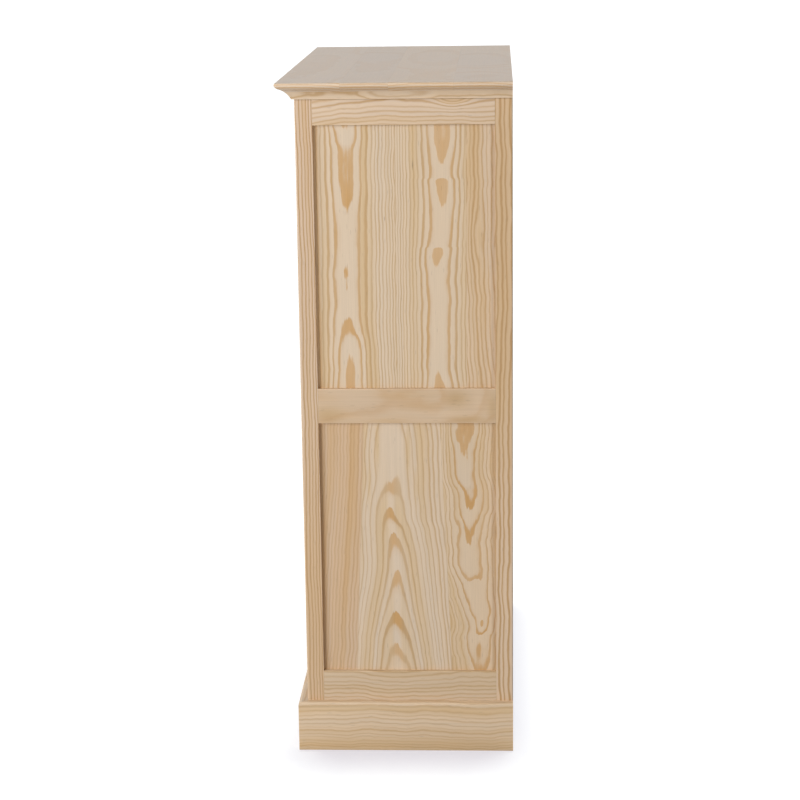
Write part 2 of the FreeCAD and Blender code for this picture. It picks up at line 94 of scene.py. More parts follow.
# Sizes and colours that a user may change
class PineSettings(bpy.types.PropertyGroup):
    early_colour: bpy.props.FloatVectorProperty(
        name="Early wood", description="Colour of the pale part of a ring",
        subtype="COLOR", size=3, min=0, max=1, default=(0.694, 0.55, 0.396))
    late_colour: bpy.props.FloatVectorProperty(
        name="Late wood", description="Colour of the dark part of a ring that is cut flat",
        subtype="COLOR", size=3, min=0, max=1, default=(0.56, 0.326, 0.124))
    gold_share: bpy.props.FloatVectorProperty(
        name="Golden bands", description="What is left of the pale colour in a band of rich rings",
        subtype="COLOR", size=3, min=0, max=1, default=(0.935, 0.86, 0.7))
    line_colour: bpy.props.FloatVectorProperty(
        name="Grain lines", description="Colour of the dark part of a ring that is cut across",
        subtype="COLOR", size=3, min=0, max=1, default=(0.49, 0.312, 0.145))
    end_darkness: bpy.props.FloatProperty(
        name="End grain", description="How much darker the cut ends are", min=0, max=1,
        default=0.22)
    streaks: bpy.props.FloatProperty(
        name="Fibre streaks", description="Strength of the fine streaks along the grain",
        min=0, max=1, default=0.1)
    roughness: bpy.props.FloatProperty(
        name="Roughness", description="Roughness of the sanded wood", min=0, max=1, default=0.46)
    relief: bpy.props.FloatProperty(
        name="Relief", description="Depth of the grain's relief", unit="LENGTH", default=0.00008,
        min=0, max=0.001, precision=5)


class HardwareSettings(bpy.types.PropertyGroup):
    brass_colour: bpy.props.FloatVectorProperty(
        name="Brass", description="Colour of the hinges", subtype="COLOR", size=3, min=0, max=1,
        default=(0.62, 0.45, 0.2))
    steel_colour: bpy.props.FloatVectorProperty(
        name="Zinc", description="Colour of the screws and strike plates", subtype="COLOR", size=3,
        min=0, max=1, default=(0.52, 0.53, 0.54))
    catch_colour: bpy.props.FloatVectorProperty(
        name="Catches", description="Colour of the plastic catches", subtype="COLOR", size=3,
        min=0, max=1, default=(0.16, 0.09, 0.05))
    screw_head: bpy.props.FloatProperty(
        name="Screw head", description="Diameter of a hinge screw's head", unit="LENGTH",
        min=0.002, max=0.012, default=0.0062, precision=4)
    cleat_screw_head: bpy.props.FloatProperty(
        name="Cleat screw head", description="Diameter of a cleat screw's head", unit="LENGTH",
        min=0.002, max=0.012, default=0.0076, precision=4)


class StudioSettings(bpy.types.PropertyGroup):
    sky: bpy.props.FloatProperty(
        name="Sky", description="Strength of the even light", min=0, max=2, default=0.22)
    key: bpy.props.FloatProperty(
        name="Key lamp", description="Power of the large lamp", unit="POWER", min=0, max=1000,
        default=230.0)
    fill: bpy.props.FloatProperty(
        name="Fill lamp", description="Power of the lamp behind", unit="POWER", min=0, max=1000,
        default=150.0)
    floor_lamp: bpy.props.FloatProperty(
        name="Floor lamp", description="Strength of the lamp that lights the floor alone",
        min=0, max=10, default=2.9)
    high: bpy.props.FloatProperty(
        name="High lamp", description="Strength of the broad lamp above", min=0, max=10,
        default=0.22)
    lens: bpy.props.FloatProperty(
        name="Lens", description="Focal length of the camera in millimetres", min=10, max=300,
        default=96.94)


def settings(name):
    return getattr(bpy.context.scene, "cupboard_" + name)


# Node helpers
class Nodes:
    """Short ways to add nodes to a tree. A value may be a number, a colour or a socket."""

    def __init__(self, tree):
        self.tree = tree

    def feed(self, socket, value):
        if isinstance(value, bpy.types.NodeSocket):
            self.tree.links.new(value, socket)
        elif hasattr(socket, "default_value"):
            if socket.type == "RGBA" and len(value) == 3:
                value = (*value, 1)
            socket.default_value = value

    def add(self, kind, inputs=None, **attributes):
        node = self.tree.nodes.new("ShaderNode" + kind)
        for name, value in attributes.items():
            setattr(node, name, value)
        for key, value in (inputs or {}).items():
            self.feed(node.inputs[key], value)
        return node

    def math(self, operation, a, b=0.0, c=0.0, clamp=False):
        node = self.add("Math", {0: a, 1: b, 2: c}, operation=operation, use_clamp=clamp)
        return node.outputs[0]

    def times(self, a, b, clamp=False):
        return self.math("MULTIPLY", a, b, clamp=clamp)

    def plus(self, a, b):
        return self.math("ADD", a, b)

    def minus(self, a, b):
        return self.math("SUBTRACT", a, b)

    def times_plus(self, a, b, c, clamp=False):
        """a times b, plus c."""
        return self.math("MULTIPLY_ADD", a, b, c, clamp)

    def size_of(self, a):
        return self.math("ABSOLUTE", a)

    def most(self, a, b):
        return self.math("MAXIMUM", a, b)

    def vector(self, x, y, z):
        return self.add("CombineXYZ", {0: x, 1: y, 2: z}).outputs[0]

    def split(self, vector):
        return self.add("SeparateXYZ", {0: vector}).outputs

    def tint(self, colour, factor):
        """A colour or vector times another, part by part."""
        return self.add("VectorMath", {0: colour, 1: factor}, operation="MULTIPLY").outputs[0]

    def stretch(self, vector, scale, offset=(0, 0, 0)):
        moved = self.tint(vector, scale)
        return self.add("VectorMath", {0: moved, 1: offset}, operation="ADD").outputs[0]

    def noise(self, vector, detail=2.0, roughness=0.5):
        """Soft noise about 0, from about -1 to 1."""
        node = self.add("TexNoise", {"Vector": vector, "Scale": 1.0, "Detail": detail,
                                     "Roughness": roughness})
        return self.times_plus(node.outputs[0], 2.0, -1.0)

    def ramp(self, value, low, high, to_low=0.0, to_high=1.0, smooth=True):
        node = self.add("MapRange", {"Value": value, "From Min": low, "From Max": high,
                                     "To Min": to_low, "To Max": to_high},
                        interpolation_type="SMOOTHSTEP" if smooth else "LINEAR")
        return node.outputs[0]

    def blend(self, share, a, b):
        """Mixes two colours."""
        node = self.add("Mix", data_type="RGBA")
        self.feed(node.inputs[0], share)
        self.feed(node.inputs[6], a)
        self.feed(node.inputs[7], b)
        return node.outputs[2]

    def scale_colour(self, colour, amount):
        return self.tint(colour, self.vector(amount, amount, amount))

    def growth(self, **inputs):
        """The outputs of the shared growth group, fed by the names of its inputs."""
        node = self.add("Group")
        node.node_tree = bpy.data.node_groups["pine_growth"]
        for name, value in inputs.items():
            self.feed(node.inputs[name], value)
        return node.outputs

    def seen(self):
        """1 for what the camera sees, also in a mirror or through glass."""
        path = self.add("LightPath").outputs
        seen = self.most(path["Is Camera Ray"], path["Is Glossy Ray"])
        return self.most(seen, path["Is Transmission Ray"])


def empty_material(name):
    material = bpy.data.materials.new(name)
    material.use_nodes = True
    material.node_tree.nodes.clear()
    return material, Nodes(material.node_tree)


def close_material(material, kit, colour, roughness, height, relief, metallic=0.0):
    """Ends a material with a shader and a relief, whose depth is in metres."""
    bump = kit.add("Bump", {"Height": height, "Distance": relief, "Strength": 1.0})
    shader = kit.add("BsdfPrincipled", {
        "Base Color": colour, "Roughness": roughness, "Metallic": metallic,
        "Normal": bump.outputs[0]})
    out = kit.add("OutputMaterial", {"Surface": shader.outputs[0]})
    shader.location, out.location = (300, 0), (600, 0)
    return material


# Wood. A board's own axes are across (X), out of its face (Y) and along the grain (Z).
def middle(points):
    """Half-way between the least and the most value of a curve, or a plain number itself."""
    if not isinstance(points, (tuple, list)):
        return float(points)
    values = [value for place, value in points]
    return (min(values) + max(values)) / 2


class Board:
    """How one board was cut from its log. Places are in metres and rises in rings."""
    # Where the pith runs and how far the rings rise: a number, or a curve along the grain
    across, rise = 0.0, 0.0
    # How far behind the face the pith lies, the rings' width, how much they crowd outwards,
    # and how far from the pith the rise reaches
    depth, ring, crowding, reach = 0.065, 0.005, 1.0, 0.09
    waver, flame, seed = 0.25, 0.1, 0.0
    # Share of a ring before its dark part, how softly that ends, and a ring that is golden
    late_start, soft, golden_year = 0.6, 0.06, -99.0
    contrast, tone = 1.0, (1, 1, 1)

    def __init__(self, **values):
        self.__dict__.update(values)

    @property
    def centre(self):
        return middle(self.across)

    @property
    def level(self):
        return middle(self.rise)


BOARD_INPUTS = ("centre", "depth", "ring", "crowding", "level", "reach", "waver", "flame",
                "late_start", "soft", "golden_year", "seed")
GROWTH_INPUTS = BOARD_INPUTS + ("shift", "rise", "swell")
GROWTH_OUTPUTS = ("late", "steep", "ring_luck", "band", "fibre", "blotch", "pores")


def fade(kit, distance, reach):
    """1 at the middle, falling to nothing some way past the reach."""
    share = kit.math("DIVIDE", distance, reach)
    return kit.math("EXPONENT", kit.times(kit.times(share, share), -1.0))


def growth_group():
    """Rings round a pith that lies behind the board's face, with their wavering and fibres."""
    tree = bpy.data.node_groups.new("pine_growth", "ShaderNodeTree")
    tree.interface.new_socket("place", in_out="INPUT", socket_type="NodeSocketVector")
    for name in GROWTH_INPUTS:
        socket = tree.interface.new_socket(name, in_out="INPUT", socket_type="NodeSocketFloat")
        socket.default_value = getattr(Board(), name, 0.0)
    for name in GROWTH_OUTPUTS:
        tree.interface.new_socket(name, in_out="OUTPUT", socket_type="NodeSocketFloat")
    kit = Nodes(tree)
    given = tree.nodes.new("NodeGroupInput").outputs
    seed, waver = given["seed"], given["waver"]
    offset = kit.vector(kit.times(seed, 7.13), kit.times(seed, 3.71), kit.times(seed, 11.9))

    def uneven(x, y, z, detail=2.0, roughness=0.5):
        """Soft noise whose grain size is given for each of the board's own axes."""
        return kit.noise(kit.stretch(given["place"], (x, y, z), offset), detail, roughness)

    # How far a place is from the pith, with the log's sway and ripple
    place = kit.split(given["place"])
    wander = kit.times(kit.plus(kit.times(uneven(2.5, 2.5, 9), 0.016),
                                kit.times(uneven(14, 14, 34), 0.0042)), waver)
    across = kit.minus(place[0], given["centre"])
    across = kit.minus(across, kit.times(given["shift"], fade(kit, across, given["reach"])))
    across = kit.plus(across, wander)
    depth = kit.plus(place[1], given["depth"])
    squares = kit.plus(kit.times(across, across), kit.times(depth, depth))
    radius = kit.math("SQRT", squares)
    steep = kit.math("DIVIDE", kit.size_of(across), radius)

    # Even rings, or rings that crowd outwards as an old tree grows more slowly: a square law
    even = kit.math("DIVIDE", kit.minus(radius, given["depth"]), given["ring"])
    square = kit.math("DIVIDE", squares, kit.times(given["depth"], given["depth"]))
    scale = kit.math("DIVIDE", given["depth"], kit.times(given["ring"], 2.0))
    crowded = kit.times(kit.minus(square, 1.0), scale)
    core = kit.times_plus(kit.minus(crowded, even), given["crowding"], even)
    rise = kit.times_plus(kit.minus(given["rise"], given["level"]),
                          fade(kit, across, given["reach"]), given["level"])
    slow = kit.times(uneven(16, 16, 9), waver)
    quick = kit.times(uneven(90, 90, 30), waver)
    flame = kit.times(uneven(330, 330, 15, 3.0, 0.6), given["flame"])
    rings = kit.plus(kit.plus(core, rise), given["swell"])
    rings = kit.times_plus(slow, 0.8, rings)
    rings = kit.times_plus(quick, 0.32, rings)
    width_luck = kit.noise(kit.vector(kit.times(rings, 0.45), seed, 0.0))
    rings = kit.times_plus(kit.times(width_luck, steep), 0.55, rings)
    rings = kit.plus(rings, flame)

    # The dark late wood of each ring
    year = kit.math("FLOOR", rings)
    part = kit.minus(rings, year)
    luck = kit.add("TexWhiteNoise", {"W": kit.plus(year, seed)}, noise_dimensions="1D").outputs
    chance = kit.split(luck[1])
    start = kit.plus(kit.times_plus(luck[0], 0.16, -0.08), given["late_start"])
    onset = kit.ramp(part, kit.plus(start, -0.25), kit.plus(start, 0.1))
    body = kit.ramp(part, kit.plus(start, -0.02), kit.plus(start, 0.16))
    soft = kit.times_plus(steep, 0.2, given["soft"])
    fall = kit.ramp(part, kit.minus(1.0, soft), 1.0, 1.0, 0.0)
    late = kit.times_plus(onset, 0.3, kit.times(body, 0.7))
    for factor in (fall, kit.times_plus(chance[1], 0.38, 0.62),
                   kit.times_plus(uneven(40, 40, 9), 0.3, 1.0),
                   kit.times_plus(steep, -0.28, 1.0)):
        late = kit.times(late, factor)

    # Bands of rich golden rings
    spread = kit.noise(kit.vector(kit.times(rings, 0.31), kit.plus(seed, 9.0),
                                  kit.times(place[2], 0.9)), 1.0)
    band = kit.times(kit.ramp(spread, -0.12, 0.42), kit.ramp(steep, 0.12, 0.45))
    golden = kit.size_of(kit.minus(kit.minus(rings, 0.45), given["golden_year"]))
    golden = kit.times(kit.ramp(golden, 0.35, 0.75, 1.0, 0.0), kit.ramp(across, 0.004, 0.012))
    band = kit.most(band, golden)

    fibre = kit.times_plus(uneven(300, 300, 4, 2.0, 0.6), 0.7, uneven(1100, 1100, 14, 2.0, 0.6))
    blotch = uneven(15, 15, 4)
    cells = kit.add("TexVoronoi", {
        "Vector": kit.stretch(given["place"], (300, 300, 36), offset), "Scale": 1.0,
        "Randomness": 1.0}, feature="F1").outputs
    close = kit.ramp(cells["Distance"], 0.1, 0.26, 1.0, 0.0)
    pores = kit.times(close, kit.math("GREATER_THAN", kit.split(cells["Color"])[0], 0.8))

    out = tree.nodes.new("NodeGroupOutput")
    for name, value in zip(GROWTH_OUTPUTS, (late, steep, chance[2], band, fibre, blotch, pores)):
        kit.feed(out.inputs[name], value)


def curve_along(kit, along, points, offset=0.0):
    """A smooth curve of a value by place along the grain. A plain number stays as it is."""
    if not isinstance(points, (tuple, list)):
        return float(points) + offset
    places = [place for place, value in points]
    values = [value for place, value in points]
    low, high = min(places), max(places)
    least, most = min(values), max(values)
    node = kit.add("FloatCurve")
    kit.feed(node.inputs["Value"], kit.ramp(along, low, high, smooth=False))
    curve = node.mapping.curves[0]
    shares = sorted(((place - low) / (high - low), (value - least) / (most - least))
                    for place, value in points)
    while len(curve.points) < len(shares):
        curve.points.new(0.5, 0.5)
    for point, (x, y) in zip(curve.points, shares):
        point.location = (x, y)
        point.handle_type = "AUTO_CLAMPED"
    node.mapping.update()
    return kit.times_plus(node.outputs[0], most - least, least + offset)


def swell_at(kit, across, along, swell):
    """A smooth rise in the rings round one place, as over a knot or a curl in the grain."""
    centre_across, centre_along, reach_across, reach_along, rings = swell
    a = kit.times(kit.minus(across, centre_across), 1 / reach_across)
    b = kit.times(kit.minus(along, centre_along), 1 / reach_along)
    squares = kit.plus(kit.times(a, a), kit.times(b, b))
    return kit.times(kit.math("EXPONENT", kit.times(squares, -1.0)), rings)


def chosen_by_board(kit, steps, values):
    """One of several numbers or sockets, by which joints a place is past."""
    result = values[0]
    for step, value in zip(steps, values[1:]):
        if isinstance(value, float) and isinstance(result, float) and value == result:
            continue
        mix = kit.add("Mix", data_type="FLOAT")
        kit.feed(mix.inputs[0], step)
        kit.feed(mix.inputs[2], result)
        kit.feed(mix.inputs[3], value)
        result = mix.outputs[0]
    return result


def pine(name, layout, boards, joints=(), ends=(), painted_shading=(), swells=(), streaks=(), golds=(),
         roughness=None, tone=(1, 1, 1), edge_contrast=0.0, edge_tone=(1, 1, 1),
         end_darkness=None):
    """A pine material.

    layout is (across axis, out axis, its sign, face place, grain axis). joints are (place,
    lean). Each painted shading entry is (axis, place, width, colour factor): a painted shadow
    line, a painted highlight or painted bounce light along one place. swells, streaks and golds
    are (centre across, centre along, reach across, reach along, strength).
    """
    pine_settings = settings("pine")
    material, kit = empty_material(name)
    source = kit.add("TexCoord").outputs
    parts = kit.split(source["Object"])
    across_axis, out_axis, sign, face, grain_axis = layout
    across, along = parts[AXES[across_axis]], parts[AXES[grain_axis]]
    out = kit.times_plus(parts[AXES[out_axis]], float(sign), -float(face))

    steps, lines = [], []
    for joint, lean in joints:
        beyond = kit.minus(across, kit.times_plus(along, lean, joint))
        steps.append(kit.math("GREATER_THAN", beyond, 0.0))
        lines.append(kit.ramp(kit.size_of(beyond), 0.0001, 0.0006, 1.0, 0.0))
    swell = 0.0
    for place in swells:
        swell = kit.plus(swell, swell_at(kit, across, along, place))
    values = {name: [getattr(board, name) for board in boards] for name in BOARD_INPUTS}
    values["shift"] = [curve_along(kit, along, board.across, -board.centre) for board in boards]
    values["rise"] = [curve_along(kit, along, board.rise) for board in boards]
    inputs = {name: chosen_by_board(kit, steps, values[name]) for name in values}
    late, steep, ring_luck, band, fibre, blotch, pores = kit.growth(
        place=kit.vector(across, out, along), swell=swell, **inputs)[:7]

    # Colours of the early and the late wood
    pale = Vector(pine_settings.early_colour)
    early = kit.blend(ring_luck, tuple(pale * Vector((1.02, 1.0, 0.97))),
                      tuple(pale * Vector((0.985, 1.0, 1.03))))
    for patch in golds:
        band = kit.most(band, swell_at(kit, across, along, patch))
    early = kit.blend(band, early, tuple(pale * Vector(pine_settings.gold_share)))
    dark = kit.blend(kit.ramp(steep, 0.1, 0.6), tuple(pine_settings.late_colour),
                     tuple(pine_settings.line_colour))
    contrasts = [float(board.contrast) for board in boards]
    amount = kit.times(late, chosen_by_board(kit, steps, contrasts))
    normals = kit.split(source["Normal"])
    # Faces that do not face out get stronger grain and the edge tone, so only the face keeps the
    # board's weak grain and tone; on the top board these are its painted sheen
    if edge_contrast:
        edge = kit.ramp(kit.times(normals[AXES[out_axis]], float(sign)), 0.95, 0.6)
        amount = kit.times(amount, kit.times_plus(edge, edge_contrast, 1.0), clamp=True)
    colour = kit.blend(amount, early, dark)
    if edge_contrast:
        colour = kit.tint(colour, kit.blend(edge, (1.0, 1.0, 1.0), edge_tone))
    tones = [[float(board.tone[part] * tone[part]) for board in boards] for part in range(3)]
    tones = [chosen_by_board(kit, steps, values) for values in tones]
    colour = kit.tint(colour, kit.vector(*tones))
    patch = kit.times_plus(blotch, 0.5, 0.5, clamp=True)
    colour = kit.tint(colour, kit.blend(patch, (1.02, 0.985, 0.94), (0.985, 1.005, 1.04)))
    # Painted shading: shadow lines under the rails and cove, highlights on ledges, and warm bounce
    # light or shade painted beside the posts
    for axis, place, width, factor in painted_shading:
        away = kit.size_of(kit.minus(parts[AXES[axis]], place))
        near = kit.blend(kit.ramp(away, width / 3, width, 1.0, 0.0), (1.0, 1.0, 1.0), factor)
        colour = kit.tint(colour, near)

    # Darker fibres, pores, joints, ends and streaks
    shade = kit.times_plus(fibre, pine_settings.streaks, 1.0)
    shade = kit.times_plus(pores, -0.16, shade)
    for line in lines:
        shade = kit.times_plus(line, -0.1, shade)
    for end in ends:
        away = kit.size_of(kit.minus(along, end))
        shade = kit.times_plus(kit.ramp(away, 0.0002, 0.0011, 1.0, 0.0), -0.18, shade)
    for streak in streaks:
        shade = kit.minus(shade, swell_at(kit, across, along, streak))
    cut_end = kit.ramp(kit.size_of(normals[AXES[grain_axis]]), 0.6, 0.9)
    darkness = pine_settings.end_darkness if end_darkness is None else end_darkness
    colour = kit.scale_colour(colour, kit.times_plus(cut_end, -darkness, shade))

    rough = pine_settings.roughness if roughness is None else roughness
    rough = kit.times_plus(fibre, 0.05, kit.times_plus(late, -0.05, rough))
    height = kit.times_plus(fibre, 0.35, kit.times(late, 0.5))
    height = kit.times_plus(pores, -0.8, height)
    return close_material(material, kit, colour, rough, height, pine_settings.relief)


def give(node_names, material):
    for name in node_names:
        mesh = nodes[name].data
        mesh.materials.clear()
        mesh.materials.append(material)


def dress(node, layout, boards, joints=(), **looks):
    """Gives one of the solids a pine of its own."""
    give([node], pine(node + "_pine", layout, boards, joints, **looks))


# The boards and looks of the right-hand side, which shows the most
UPPER_PANEL_BOARDS = (
    Board(across=((0.755, -0.095), (0.83, -0.092), (0.905, -0.096), (0.986, -0.096),
                  (1.05, -0.094), (1.217, -0.094), (1.276, -0.099)),
          reach=0.042, waver=0.34, flame=0.13, seed=2.3, late_start=0.5, crowding=0.1,
          golden_year=3.0, rise=(
              (0.755, 0.7), (0.822, 1.0), (0.853, 1.3), (0.868, 1.62), (0.89, 1.8),
              (0.915, 2.0), (0.93, 2.05), (0.97, 2.04), (0.986, 1.96), (1.002, 2.05),
              (1.052, 2.12), (1.105, 2.0), (1.13, 1.88), (1.159, 1.78), (1.208, 1.66),
              (1.227, 1.55), (1.244, 1.2), (1.26, 1.0), (1.276, 0.84))),
    Board(across=((0.755, 0.082), (0.85, 0.081), (0.932, 0.084), (0.988, 0.08), (1.03, 0.082),
                  (1.09, 0.09), (1.276, 0.09)),
          reach=0.05, waver=0.36, flame=0.1, seed=5.9, late_start=0.5, crowding=0.45, rise=(
              (0.755, 0.66), (0.787, 1.0), (0.8, 1.07), (0.852, 1.16), (0.932, 1.14),
              (0.975, 1.06), (0.988, 1.0), (1.011, 0.84), (1.031, 0.74), (1.037, 0.98),
              (1.048, 1.07), (1.07, 1.1), (1.093, 1.06), (1.104, 1.0), (1.135, 0.78),
              (1.164, 0.66), (1.171, 0.92), (1.176, 1.04), (1.186, 1.07), (1.199, 1.0),
              (1.225, 0.82), (1.245, 0.62), (1.276, 0.52))),
    Board(across=0.3, depth=0.06, ring=0.019, waver=0.5, flame=0.05, seed=7.7, reach=4.0,
          late_start=0.4, soft=0.3, contrast=1.4, tone=(0.975, 0.935, 0.89),
          rise=((0.755, 1.6), (0.84, 0.9), (0.93, 0.3), (1.06, 0.0), (1.18, 0.2),
                (1.276, 0.1))),
)
LOWER_PANEL_BOARDS = (
    Board(across=((0.166, 0.112), (0.682, 0.15)), depth=0.14, ring=0.0125, waver=0.42,
          flame=0.06, seed=8.1, contrast=0.9, late_start=0.46, soft=0.3, reach=4.0,
          rise=((0.166, 0.4), (0.4, 0.3), (0.682, 0.0)), tone=(0.905, 0.82, 0.745)),
    Board(across=((0.166, -0.005), (0.297, -0.0055), (0.378, -0.0065), (0.462, -0.0115),
                  (0.512, -0.017), (0.682, -0.015)), crowding=0.0, contrast=1.06,
          depth=0.024, ring=0.0082, reach=0.13, waver=0.3, flame=0.08, seed=1.7, late_start=0.56,
          soft=0.03, rise=(
              (0.166, -6.05), (0.229, -4.98), (0.297, -3.43), (0.378, -2.08), (0.462, -1.26),
              (0.49, -0.81), (0.512, -0.66), (0.54, -0.23), (0.558, -0.06), (0.628, 0.03),
              (0.682, 0.64)), tone=(0.982, 0.985, 1.005)),
    Board(across=((0.166, 0.158), (0.229, 0.155), (0.261, 0.165), (0.336, 0.151), (0.399, 0.142),
                  (0.483, 0.141), (0.514, 0.146), (0.587, 0.134), (0.682, 0.13)),
          depth=0.065, ring=0.005, reach=0.09, waver=0.7, flame=0.15, seed=3.4, late_start=0.62,
          rise=((0.166, 4.8), (0.215, 4.2), (0.245, 4.05), (0.27, 3.7), (0.295, 3.15),
                (0.325, 3.0), (0.347, 2.72), (0.365, 2.3), (0.385, 2.05), (0.425, 1.95),
                (0.455, 1.72), (0.478, 1.4), (0.49, 1.15), (0.508, 1.0), (0.545, 0.66),
                (0.56, 0.35), (0.614, 0.0), (0.64, -0.12), (0.69, -0.24)),
          tone=(0.96, 0.94, 0.915)),
)

